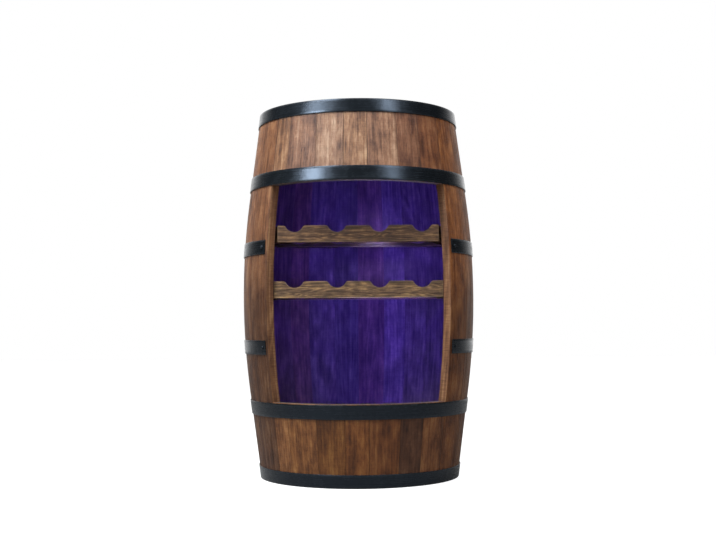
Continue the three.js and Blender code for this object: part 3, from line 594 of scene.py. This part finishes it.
def band_section(low, high):
    """Points round a band's section: distance out from its seat, and height."""
    rounding = [(0, 1), (0.3, 0.3), (1, 0)]
    lower = [(HOOP_ARRIS * out, low + HOOP_ARRIS * up) for out, up in rounding]
    lower += [(HOOP_THICKNESS - HOOP_ARRIS * out, low + HOOP_ARRIS * up) for out, up in rounding[::-1]]
    upper = [(out, low + high - z) for out, z in lower[::-1]]
    rise = high - low - 2 * HOOP_ARRIS
    face = [(HOOP_THICKNESS, low + HOOP_ARRIS + rise * i / HOOP_FACE_STEPS)
            for i in range(1, HOOP_FACE_STEPS)]
    return lower + face + upper


def band(low, high, start, end, over=False):
    """One strip round the barrel. Where it goes over the other end, its last stretch is lifted."""
    section = band_section(low, high)
    middle_radius = outer_radius((low + high) / 2)
    steps = math.ceil((end - start) / HOOP_STEP_TURN)
    lap_start = end - 2 * LAP_HALF_LENGTH / middle_radius
    ramp = LAP_RAMP / middle_radius
    turns = [start + (end - start) * i / steps for i in range(steps + 1)]
    if over:
        turns = sorted(turns + [lap_start - ramp * i / LAP_RAMP_STEPS for i in range(LAP_RAMP_STEPS + 1)])
    verts, grain, edges = [], [], []
    for turn in turns:
        climb = min(1, max(0, (turn - lap_start + ramp) / ramp)) if over else 0
        lift = HOOP_LIFT + HOOP_THICKNESS * climb * climb * (3 - 2 * climb)
        for out, z in section:
            verts.append(polar_point(outer_radius(z) + lift + out, turn, z))
            grain.append(Vector((turn * middle_radius, out, z)))
            edges.append(max(0, 1 - min(z - low, high - z) / HOOP_WEAR_WIDTH))
    ring = len(section)
    faces = [tuple(range(ring)), tuple(range(len(verts) - ring, len(verts)))]
    for i in range(len(turns) - 1):
        for j in range(ring):
            k = (j + 1) % ring
            faces.append((i * ring + j, i * ring + k, (i + 1) * ring + k, (i + 1) * ring + j))
    return verts, faces, grain, edges


def hoop_piece(node, start=None, end=None):
    low, high = (corner.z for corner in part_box(node))
    middle = (low + high) / 2
    lap_turn = LAP_HALF_LENGTH / outer_radius(middle)
    if start is None:
        strips = [band(low, high, math.pi - lap_turn, 3 * math.pi + lap_turn, over=True)]
    else:
        strips = [band(low, high, start, math.pi + lap_turn, over=True),
                  band(low, high, math.pi - lap_turn, end)]
    rivet_verts, rivet_faces = turned([(0, 0)] + domed(RIVET_RADIUS, RIVET_HEIGHT), RIVET_STEPS)
    for side in (-1, 1):
        angle = math.pi + side * RIVET_HALF_SPACING / outer_radius(middle)
        place = wall_placement(angle, middle, HOOP_LIFT + 2 * HOOP_THICKNESS)
        rivet = [place @ vert for vert in rivet_verts]
        strips.append((rivet, rivet_faces, rivet, [0.0] * len(rivet)))
    verts, faces, grain, edges = [], [], [], []
    for strip_verts, strip_faces, strip_grain, strip_edges in strips:
        faces += [tuple(len(verts) + i for i in face) for face in strip_faces]
        verts += strip_verts
        grain += strip_grain
        edges += strip_edges
    piece = new_piece(f"{node}_band", verts, faces, [black_paint], [0] * len(faces),
                      grain, None, edges, crease=50)
    stands_for(piece, node)


def noise(tree, place, scale, detail):
    texture = add_node(tree, "ShaderNodeTexNoise", {"Vector": place, "Scale": scale, "Detail": detail})
    return texture.outputs["Fac"]


def make_paint_marks():
    """Paint on steel: soft clouds of dust and gloss, specks, and fine rubbed lines along the band."""
    group, given, result = new_group(
        "paint_marks", {"Near Edge": 0.0, "Least Roughness": 0.2, "Most Roughness": 0.3},
        ("Dust", "Wear", "Roughness", "Relief"))
    clouds = noise(group, given["Place"], 38.0, 4.0)
    specks = noise(group, given["Place"], 900.0, 2.0)
    along = add_node(group, "ShaderNodeVectorMath", {0: given["Place"], 1: (7, 1, 700)}, operation="MULTIPLY")
    rubbed = noise(group, along.outputs[0], 1.0, 3.0)
    dust = worked_out(group, "MULTIPLY", between(group, clouds, 0.45, 0.75), 0.5)
    dust = worked_out(group, "MULTIPLY_ADD", between(group, specks, 0.62, 0.72), 0.25, dust)
    group.links.new(dust, result["Dust"])
    bared = between(group, rubbed, 0.4, 0.7, 0.1, 0.8)
    group.links.new(worked_out(group, "MULTIPLY", given["Near Edge"], bared), result["Wear"])
    clouded = between(group, clouds, 0.3, 0.7, given["Least Roughness"], given["Most Roughness"])
    rough = worked_out(group, "ADD", clouded, between(group, rubbed, 0.3, 0.7, -0.04, 0.06))
    group.links.new(rough, result["Roughness"])
    group.links.new(worked_out(group, "MULTIPLY_ADD", rubbed, 0.4, specks), result["Relief"])
    return group


paint_marks = make_paint_marks()


def painted_steel(name, colour, dust, worn, gloss):
    """Black paint on steel, dusty in places and rubbed greyer along its edges."""
    material = bpy.data.materials.new(name)
    material.use_nodes = True
    tree = material.node_tree
    place = add_node(tree, "ShaderNodeAttribute", attribute_name="grain").outputs["Vector"]
    near_edge = add_node(tree, "ShaderNodeAttribute", attribute_name="near_edge").outputs["Fac"]
    marks = add_node(tree, "ShaderNodeGroup", {
        "Place": place, "Near Edge": near_edge, "Least Roughness": gloss[0], "Most Roughness": gloss[1]},
        node_tree=paint_marks).outputs
    shown = colour_mix(tree, marks["Dust"], paint(colour), paint(dust))
    shown = colour_mix(tree, marks["Wear"], shown, paint(worn))
    shader = tree.nodes["Principled BSDF"]
    shader.inputs["Specular IOR Level"].default_value = 0.26
    # The bluish tint of the reflections is painted light: it stands for the colour of the lamps.
    shader.inputs["Specular Tint"].default_value = (0.64, 0.78, 1.0, 1)
    tree.links.new(shown, shader.inputs["Base Color"])
    tree.links.new(marks["Roughness"], shader.inputs["Roughness"])
    bump = add_node(tree, "ShaderNodeBump", {
        "Height": marks["Relief"], "Distance": PAINT_RELIEF, "Strength": 0.6})
    tree.links.new(bump.outputs["Normal"], shader.inputs["Normal"])
    return material


black_paint = painted_steel("black_paint", "101316", "171a1d", "2c2f32", (0.2, 0.3))
for node in ("hoop_top", "hoop_upper_quarter", "hoop_lower_quarter", "hoop_bottom"):
    hoop_piece(node)
for node in ("hoop_upper_bilge", "hoop_lower_bilge"):
    hoop_piece(node, *filled_angles(node))


# Screws
# Round-head steel wood screws with a cross recess, blackened, one through each end of the two cut
# hoops into the stave beside the opening.
SCREW_HEAD_RADIUS = 0.0038
SCREW_HEAD_HEIGHT = 0.0024
SCREW_RIM_HEIGHT = 0.0006
SCREW_SHANK_RADIUS = 0.0019
SCREW_SHANK_LENGTH = 0.015
SCREW_FROM_HOOP_END = 0.011
SCREW_RECESS_REACH = 0.0021
SCREW_RECESS_HALF_WIDTH = 0.0004
SCREW_RECESS_DEPTH = 0.0013
SCREW_STEPS = 32


def screw_mesh():
    """A domed head on a pointed shank, with a tapering cross sunk into the head."""
    crown = SCREW_HEAD_HEIGHT - SCREW_RIM_HEIGHT
    dome = [(radius, SCREW_RIM_HEIGHT + height)
            for radius, height in domed(SCREW_HEAD_RADIUS, crown, steps=8)]
    profile = [(0, -SCREW_SHANK_LENGTH), (SCREW_SHANK_RADIUS, 2 * SCREW_SHANK_RADIUS - SCREW_SHANK_LENGTH),
               (SCREW_SHANK_RADIUS, 0), (SCREW_HEAD_RADIUS, 0)] + dome
    verts, faces = turned(profile, SCREW_STEPS)
    blank = bpy.data.meshes.new("screw_blank")
    blank.from_pydata(verts, [], faces)
    screw = bpy.data.objects.new("screw_blank", blank)
    bpy.context.scene.collection.objects.link(screw)
    cutter = bmesh.new()
    for turn in (0, math.pi / 2):
        across = Matrix.Rotation(turn, 3, "Z")
        bar = [[cutter.verts.new(across @ Vector((x * reach, y * SCREW_RECESS_HALF_WIDTH, z)))
                for x, y in ((-1, -1), (1, -1), (1, 1), (-1, 1))]
               for reach, z in ((SCREW_RECESS_REACH / 2, SCREW_HEAD_HEIGHT - SCREW_RECESS_DEPTH),
                                (SCREW_RECESS_REACH, SCREW_HEAD_HEIGHT + SCREW_RIM_HEIGHT))]
        cutter.faces.new(bar[0][::-1])
        cutter.faces.new(bar[1])
        for i in range(4):
            k = (i + 1) % 4
            cutter.faces.new((bar[0][i], bar[0][k], bar[1][k], bar[1][i]))
    cross = bpy.data.meshes.new("screw_cross")
    cutter.to_mesh(cross)
    cutter.free()
    driver_bit = bpy.data.objects.new("screw_cross", cross)
    bpy.context.scene.collection.objects.link(driver_bit)
    recess = screw.modifiers.new("recess", "BOOLEAN")
    recess.operation = "DIFFERENCE"
    recess.use_self = True
    recess.object = driver_bit
    cut = bpy.data.meshes.new_from_object(screw.evaluated_get(bpy.context.evaluated_depsgraph_get()))
    bpy.data.objects.remove(screw)
    bpy.data.objects.remove(driver_bit)
    verts = [vert.co.copy() for vert in cut.vertices]
    faces = [tuple(face.vertices) for face in cut.polygons]
    return verts, faces


screw_black = painted_steel("screw_black", "101214", "1c1e20", "2c2e30", (0.3, 0.42))
screw_verts, screw_faces = screw_mesh()
for level in ("upper", "lower"):
    hoop_low, hoop_high = (corner.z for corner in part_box(f"hoop_{level}_bilge"))
    hoop_middle = (hoop_low + hoop_high) / 2
    hoop_start, hoop_end = filled_angles(f"hoop_{level}_bilge")
    inset = SCREW_FROM_HOOP_END / (outer_radius(hoop_middle) + HOOP_LIFT + HOOP_THICKNESS)
    for side, angle in (("right", hoop_start + inset), ("left", hoop_end - inset)):
        placement = wall_placement(angle, hoop_middle, HOOP_LIFT + HOOP_THICKNESS)
        places = [placement @ vert for vert in screw_verts]
        rims = [0.0] * len(places)
        screw = new_piece(f"screw_{level}_{side}", places, screw_faces, [screw_black], [0] * len(screw_faces),
                          places, None, rims, crease=40)
        stands_for(screw, f"hoop_screw_{level}_{side}")


# Racks
# Two shelves, each of a front and a rear rail of planed oak with round scallops in their top edges,
# screwed through two cleats that stand against the wall. Clear oiled, so paler than the barrel, though the
# rear rails and the cleats carry painted shade that darkens them.
NOTCH_PITCH = 0.09
NOTCHES = 4
NOTCH_RADIUS = 0.0205
NOTCH_DEPTH = 0.014
SADDLE_RADIUS = 0.038
SADDLE_DEPTH = 0.027
SCALLOP_STEPS = 28
SHOULDER_RADIUS = 0.006
SHOULDER_STEPS = 6
RAIL_ARRIS = 0.0016
CLEAT_ARRIS = 0.0012
RAIL_WEAR_WIDTH = 0.0025
BROAD_FACE_AREA = 9 * RAIL_WEAR_WIDTH**2
SAME_PLACE = 1e-6
FRONT_RAIL_SHADES = {"upper": (0.85, 0.12, -0.12), "lower": (1.06, 0.0, -0.14)}
# The rear rails are tinted nearly black: painted shadow, for the shade they stand in behind the front rails.
REAR_RAIL_SHADOW_TINT = (0.2, 0.1, 0.1)
CLEAT_SHADE = (1.0, 0.0, 0.0)


def softened(built, width, segments, least_turn=60):
    """Rounds over every edge that turns through more than the least angle."""
    sharp = [edge for edge in built.edges
             if len(edge.link_faces) == 2 and edge.calc_face_angle() > math.radians(least_turn)]
    bmesh.ops.bevel(built, geom=sharp, offset=width, segments=segments, profile=0.5, affect="EDGES",
                    clamp_overlap=True)


def wooden_piece(name, built, along, shade, finish, luck):
    """A piece of plain timber whose grain runs along one axis, from a finished bmesh."""
    shift = grain_shift(luck)
    across = [i for i in range(3) if i != along][::-1]
    broad = [face for face in built.faces if face.calc_area() > BROAD_FACE_AREA]
    bmesh.ops.inset_individual(built, faces=broad, thickness=RAIL_WEAR_WIDTH, use_even_offset=True)
    inside = {vert for face in broad for vert in face.verts}
    edges = [0.0 if vert in inside else 1.0 for vert in built.verts]
    built.verts.index_update()
    verts = [vert.co.copy() for vert in built.verts]
    grain = [Vector((vert[across[0]], vert[across[1]], vert[along])) + shift for vert in verts]
    tints = [stain_and_shade_tint(*shade)] * len(verts)
    faces = [tuple(vert.index for vert in face.verts) for face in built.faces]
    built.free()
    return new_piece(name, verts, faces, [finish], [0] * len(faces), grain, tints, edges)


def rail_outline(low, high, radius, depth):
    """A rail seen from the front, with round scallops let into its top edge."""
    spread = math.acos((radius - depth + SHOULDER_RADIUS) / (radius + SHOULDER_RADIUS))
    shoulder_reach = (radius + SHOULDER_RADIUS) * math.sin(spread)
    outline = [(low.x, low.z), (high.x, low.z), (high.x, high.z)]
    for number in range(NOTCHES)[::-1]:
        middle = (low.x + high.x) / 2 + (number - (NOTCHES - 1) / 2) * NOTCH_PITCH
        shoulder = [(shoulder_reach - SHOULDER_RADIUS * math.sin(spread * i / SHOULDER_STEPS),
                     high.z - SHOULDER_RADIUS * (1 - math.cos(spread * i / SHOULDER_STEPS)))
                    for i in range(SHOULDER_STEPS)]
        outline += [(middle + reach, z) for reach, z in shoulder]
        for i in range(SCALLOP_STEPS + 1):
            turn = spread * (1 - 2 * i / SCALLOP_STEPS)
            outline.append((middle + radius * math.sin(turn),
                            high.z + radius - depth - radius * math.cos(turn)))
        outline += [(middle - reach, z) for reach, z in shoulder[::-1]]
    return outline + [(low.x, high.z)]


def rail_piece(node, radius, depth, shade, luck):
    low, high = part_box(node)
    built = bmesh.new()
    outline = rail_outline(low, high, radius, depth)
    front = [built.verts.new((x, low.y, z)) for x, z in outline]
    rear = [built.verts.new((x, high.y, z)) for x, z in outline]
    built.faces.new(front)
    built.faces.new(rear[::-1])
    for i in range(len(outline)):
        k = (i + 1) % len(outline)
        built.faces.new((front[i], rear[i], rear[k], front[k]))
    softened(built, RAIL_ARRIS, segments=3, least_turn=30)
    piece = wooden_piece(f"{node}_planed", built, 0, shade, rail_oak, luck)
    stands_for(piece, node)


def solid_copy(node):
    """The node's own faces, joined up and flat again, ready to have their edges worked."""
    built = bmesh.new()
    built.from_mesh(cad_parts[node].data)
    bmesh.ops.remove_doubles(built, verts=built.verts, dist=SAME_PLACE)
    bmesh.ops.dissolve_limit(built, angle_limit=math.radians(1), verts=built.verts, edges=built.edges)
    return built


rail_oak = oak_finish(
    "rail_oak", [(0.0, "24180f"), (0.33, "44321f"), (0.6, "644b2f"), (1.0, "a3824f")],
    streaks=0.5, figure=0.3, blotches=0.24, saw_marks=0.05, fibre_depth=0.22, pore_depth=0.35,
    edge_colour="a08a6a", edge_share=0.15, streak_width=0.005, figure_width=0.016)
# The cleats are coloured darker than the rails: painted shade, for the shadow they sit in at the rail ends.
cleat_oak = oak_finish(
    "cleat_oak", [(0.0, "33221a"), (0.5, "4a3325"), (1.0, "6a4c38")], gloss=(0.6, 0.75))
rack_luck = random.Random(5)
for level, shade in FRONT_RAIL_SHADES.items():
    rail_piece(f"rack_{level}_front_rail", NOTCH_RADIUS, NOTCH_DEPTH, shade, rack_luck)
    rail_piece(f"rack_{level}_rear_rail", SADDLE_RADIUS, SADDLE_DEPTH, REAR_RAIL_SHADOW_TINT, rack_luck)
    for side in ("left", "right"):
        cleat_node = f"rack_{level}_{side}_cleat"
        cleat_mesh = solid_copy(cleat_node)
        softened(cleat_mesh, CLEAT_ARRIS, segments=2)
        cleat = wooden_piece(f"{cleat_node}_sawn", cleat_mesh, 1, CLEAT_SHADE, cleat_oak, rack_luck)
        stands_for(cleat, cleat_node)


# Strip light
# Two flexible violet strips under a milky lens follow the wall just out of view, one above and one
# below the opening. Thin leads tie them to a small black controller low on the wall, and to the
# power inlet in the stave behind it. Small hidden lamps throw the light that the strips would.
LENS_GLOW = 0.8
LENS_GLOW_COLOUR = (0.22, 0.10, 1.0, 1)
STRIP_LAMP_WEIGHTS = (0.6, 1.0, 2.3)
STRIP_LAMP_SPACING = 0.1
STRIP_LAMP_SIZE = 0.09
STRIP_LAMP_HEIGHT = 0.008
STRIP_LAMP_SPREAD = 140
STRIP_COLOUR = (0.105, 0.06, 0.74)
LILAC_COLOUR = (0.4, 0.4, 1.0)
PALE_LILAC_COLOUR = (0.4, 0.5, 1.0)
# Each row's place and aim, counted from the middle of the lower head, and its power.
STRIP_LIGHTS = {"upper_strip_light": ((0, -0.12, 0.6), (0, 0.14, 0.53), 1.0),
                "middle_strip_light": ((0, -0.118, 0.473), (0, 0.2, 0.42), 0.42),
                "lower_strip_light": ((0, -0.118, 0.355), (0, 0.2, 0.2), 1.7)}
REAR_RAIL_LIT_ASIDE = 0.04
REAR_RAIL_LIT_RISE = 0.006
REAR_RAIL_LAMP_OFFSET = Vector((0, -0.06, 0.0))
FRONT_RAIL_LIT_ASIDE = 0.053
FRONT_RAIL_LAMP_OFFSET = Vector((0, 0.003, -0.02))


def make_moulding_marks():
    """Moulded plastic and rubber: broad clouds of colour and gloss, and fine pits."""
    group, given, result = new_group("moulding_marks", {"Pitting": 900.0}, ("Clouds", "Pits"))
    group.links.new(noise(group, given["Place"], 45.0, 3.0), result["Clouds"])
    group.links.new(noise(group, given["Place"], given["Pitting"], 2.0), result["Pits"])
    return group


moulding_marks = make_moulding_marks()


def moulded(name, colour, rough, pitting):
    """Plastic or rubber with a faint moulded texture, placed by the object's own coordinates."""
    material = bpy.data.materials.new(name)
    material.use_nodes = True
    tree = material.node_tree
    place = add_node(tree, "ShaderNodeTexCoord").outputs["Object"]
    marks = add_node(tree, "ShaderNodeGroup", {"Place": place, "Pitting": pitting},
                     node_tree=moulding_marks).outputs
    clouds = marks["Clouds"]
    shader = tree.nodes["Principled BSDF"]
    lighter = colour_mix(tree, 0.12, paint(colour), paint("808080"))
    tree.links.new(colour_mix(tree, between(tree, clouds, 0.35, 0.7), paint(colour), lighter),
                   shader.inputs["Base Color"])
    tree.links.new(between(tree, clouds, 0.3, 0.7, rough - 0.06, rough + 0.08), shader.inputs["Roughness"])
    bump = add_node(tree, "ShaderNodeBump", {"Height": marks["Pits"], "Distance": 0.00008, "Strength": 0.5})
    tree.links.new(bump.outputs["Normal"], shader.inputs["Normal"])
    return material


strip_lens = moulded("strip_lens", "8f7cff", 0.4, 700.0)
lens_shader = strip_lens.node_tree.nodes["Principled BSDF"]
lens_shader.inputs["Emission Color"].default_value = LENS_GLOW_COLOUR
lens_shader.inputs["Emission Strength"].default_value = LENS_GLOW
black_plastic = moulded("black_plastic", "141518", 0.45, 900.0)
lead_jacket = moulded("lead_jacket", "101012", 0.5, 1400.0)


def carried_over(node, material):
    """Gives a node that keeps its own solid its finish."""
    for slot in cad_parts[node].material_slots:
        slot.material = material


for node in ("led_strip_upper", "led_strip_lower"):
    carried_over(node, strip_lens)
for node in ("power_inlet", "led_controller"):
    carried_over(node, black_plastic)
for node in ("lead_inlet", "lead_upper_strip", "lead_lower_strip"):
    carried_over(node, lead_jacket)


def violet_lamp(name, middle, aim, length, power, spread, colour):
    """A thin soft lamp inside the cabinet. Its light is less grainy than that of a glowing lens."""
    lamp = bpy.data.lights.new(name, "AREA")
    lamp.shape = "RECTANGLE"
    lamp.size, lamp.size_y = length, STRIP_LAMP_HEIGHT
    lamp.spread = math.radians(spread)
    lamp.energy = power
    lamp.color = colour
    stand = bpy.data.objects.new(name, lamp)
    stand.location = middle
    stand.rotation_euler = (aim - middle).to_track_quat("-Z", "Y").to_euler()
    stand.visible_camera = False
    stand.visible_glossy = False
    bpy.context.scene.collection.objects.link(stand)


def strip_light(name, middle, aim, power):
    """A row of lamps across the cabinet, brighter towards the viewer's right."""
    for number, weight in enumerate(STRIP_LAMP_WEIGHTS):
        across = Vector(((number - 1) * STRIP_LAMP_SPACING, 0, 0))
        violet_lamp(name, barrel_axis + middle + across, barrel_axis + aim + across, STRIP_LAMP_SIZE,
                    power * weight / len(STRIP_LAMP_WEIGHTS), STRIP_LAMP_SPREAD, STRIP_COLOUR)


for name, (middle, aim, power) in STRIP_LIGHTS.items():
    strip_light(name, Vector(middle), Vector(aim), power)
rail_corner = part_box("rack_upper_rear_rail")[0]
lit_place = Vector((barrel_axis.x + REAR_RAIL_LIT_ASIDE, rail_corner.y, rail_corner.z + REAR_RAIL_LIT_RISE))
violet_lamp("rear_rail_light", lit_place + REAR_RAIL_LAMP_OFFSET, lit_place,
            length=0.08, power=0.08, spread=50, colour=LILAC_COLOUR)
rail_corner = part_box("rack_lower_front_rail")[0]
lit_place = Vector((barrel_axis.x + FRONT_RAIL_LIT_ASIDE, rail_corner.y, rail_corner.z))
violet_lamp("front_rail_light", lit_place + FRONT_RAIL_LAMP_OFFSET, lit_place,
            length=0.19, power=0.3, spread=60, colour=PALE_LILAC_COLOUR)


# Studio
# A pale floor and a white surround, a large soft lamp high on the viewer's left and a weaker one on
# the right. What mirrors sees white behind the cabinet, dark before it, and two bright cards that
# light nothing else, so that the black hoops stay black.
FLOOR_HALF_SIZE = 9.0
FLOOR_SEEN = 0.85
FLOOR_MIRRORED = 1.5
FLOOR_MIRRORED_FROM, FLOOR_MIRRORED_TO = 1.5, 7.0
SKY_PLAIN = 0.45
SKY_SEEN = 1.0
SKY_MIRRORED_LEAST, SKY_MIRRORED_RISE = 0.03, 1.6
SKY_RISING_FROM, SKY_RISING_TO = 0.55, 1.0
OBJECT_MIDDLE = Vector((barrel_axis.x, barrel_axis.y, BARREL_HEIGHT / 2))

floor_mesh = bpy.data.meshes.new("studio_floor")
floor_grid = bmesh.new()
bmesh.ops.create_grid(floor_grid, x_segments=8, y_segments=8, size=FLOOR_HALF_SIZE)
floor_grid.to_mesh(floor_mesh)
floor_grid.free()
studio_floor = bpy.data.objects.new("studio_floor", floor_mesh)
bpy.context.scene.collection.objects.link(studio_floor)

floor_paint = bpy.data.materials.new("floor_paint")
floor_paint.use_nodes = True
floor_tree = floor_paint.node_tree
floor_shader = floor_tree.nodes["Principled BSDF"]
floor_speckle = add_node(floor_tree, "ShaderNodeTexNoise", {"Scale": 40.0, "Detail": 3.0}).outputs["Fac"]
floor_tree.links.new(between(floor_tree, floor_speckle, 0, 1, 0.7, 0.85), floor_shader.inputs["Roughness"])
floor_shader.inputs["Base Color"].default_value = (0.3, 0.3, 0.3, 1)
floor_rays = add_node(floor_tree, "ShaderNodeLightPath").outputs
floor_seen = worked_out(floor_tree, "MAXIMUM", floor_rays["Is Camera Ray"], floor_rays["Is Transmission Ray"])
floor_place = add_node(floor_tree, "ShaderNodeNewGeometry").outputs["Position"]
floor_back = add_node(floor_tree, "ShaderNodeSeparateXYZ", {0: floor_place}).outputs["Y"]
floor_brightening = between(
    floor_tree, floor_back, FLOOR_MIRRORED_FROM, FLOOR_MIRRORED_TO, 0.0, FLOOR_MIRRORED)
floor_mirrored = worked_out(floor_tree, "MULTIPLY", floor_rays["Is Glossy Ray"], floor_brightening)
floor_level = worked_out(floor_tree, "MULTIPLY_ADD", floor_seen, FLOOR_SEEN, floor_mirrored)
floor_glow = add_node(floor_tree, "ShaderNodeEmission", {"Strength": floor_level})
floor_sum = add_node(floor_tree, "ShaderNodeAddShader", {
    0: floor_shader.outputs[0], 1: floor_glow.outputs[0]})
floor_tree.links.new(floor_sum.outputs[0], floor_tree.nodes["Material Output"].inputs["Surface"])
floor_mesh.materials.append(floor_paint)

world = bpy.data.worlds.new("studio")
world.use_nodes = True
bpy.context.scene.world = world
sky = world.node_tree
sky_rays = add_node(sky, "ShaderNodeLightPath").outputs
sky_direction = add_node(sky, "ShaderNodeTexCoord").outputs["Generated"]
sky_axes = add_node(sky, "ShaderNodeSeparateXYZ", {0: sky_direction}).outputs
sky_back = worked_out(sky, "MULTIPLY_ADD", sky_axes["Z"], 0.5, sky_axes["Y"])
sky_rising = worked_out(sky, "POWER", between(sky, sky_back, SKY_RISING_FROM, SKY_RISING_TO), 2.0)
sky_mirrored = worked_out(sky, "MULTIPLY_ADD", sky_rising, SKY_MIRRORED_RISE, SKY_MIRRORED_LEAST)
sky_seen = worked_out(sky, "MAXIMUM", sky_rays["Is Camera Ray"], sky_rays["Is Transmission Ray"])
sky_plain = add_node(sky, "ShaderNodeMix", {
    0: sky_rays["Is Glossy Ray"], 2: SKY_PLAIN, 3: sky_mirrored}).outputs[0]
sky_level = add_node(sky, "ShaderNodeMix", {0: sky_seen, 2: sky_plain, 3: SKY_SEEN}).outputs[0]
sky.links.new(sky_level, sky.nodes["Background"].inputs["Strength"])
sky.nodes["Background"].inputs["Color"].default_value = (1, 1, 1, 1)


def soft_lamp(name, azimuth, elevation, distance, width, height, power, colour, mirrored_only=False):
    """A soft box aimed at the cabinet's middle. Azimuth is counted from the camera towards +X."""
    turn, rise = math.radians(azimuth), math.radians(elevation)
    lamp = bpy.data.lights.new(name, "AREA")
    lamp.shape = "RECTANGLE"
    lamp.size, lamp.size_y = width, height
    lamp.energy = power
    lamp.color = colour
    stand = bpy.data.objects.new(name, lamp)
    flat = distance * math.cos(rise)
    stand.location = OBJECT_MIDDLE + Vector((flat * math.sin(turn), -flat * math.cos(turn),
                                             distance * math.sin(rise)))
    stand.rotation_euler = (OBJECT_MIDDLE - stand.location).to_track_quat("-Z", "Y").to_euler()
    stand.visible_diffuse = not mirrored_only
    bpy.context.scene.collection.objects.link(stand)


soft_lamp("key_soft_box", azimuth=-42, elevation=54, distance=2.2, width=1.0, height=1.4, power=98,
          colour=(0.95, 0.98, 1.0))
soft_lamp("fill_soft_box", azimuth=36, elevation=45, distance=2.4, width=0.7, height=1.4, power=26,
          colour=(0.97, 0.99, 1.0))
soft_lamp("left_card", azimuth=-46, elevation=23, distance=2.4, width=0.8, height=0.6, power=62,
          colour=(0.9, 0.96, 1.0), mirrored_only=True)
soft_lamp("right_card", azimuth=36, elevation=27, distance=2.6, width=0.5, height=1.2, power=20,
          colour=(0.9, 0.96, 1.0), mirrored_only=True)
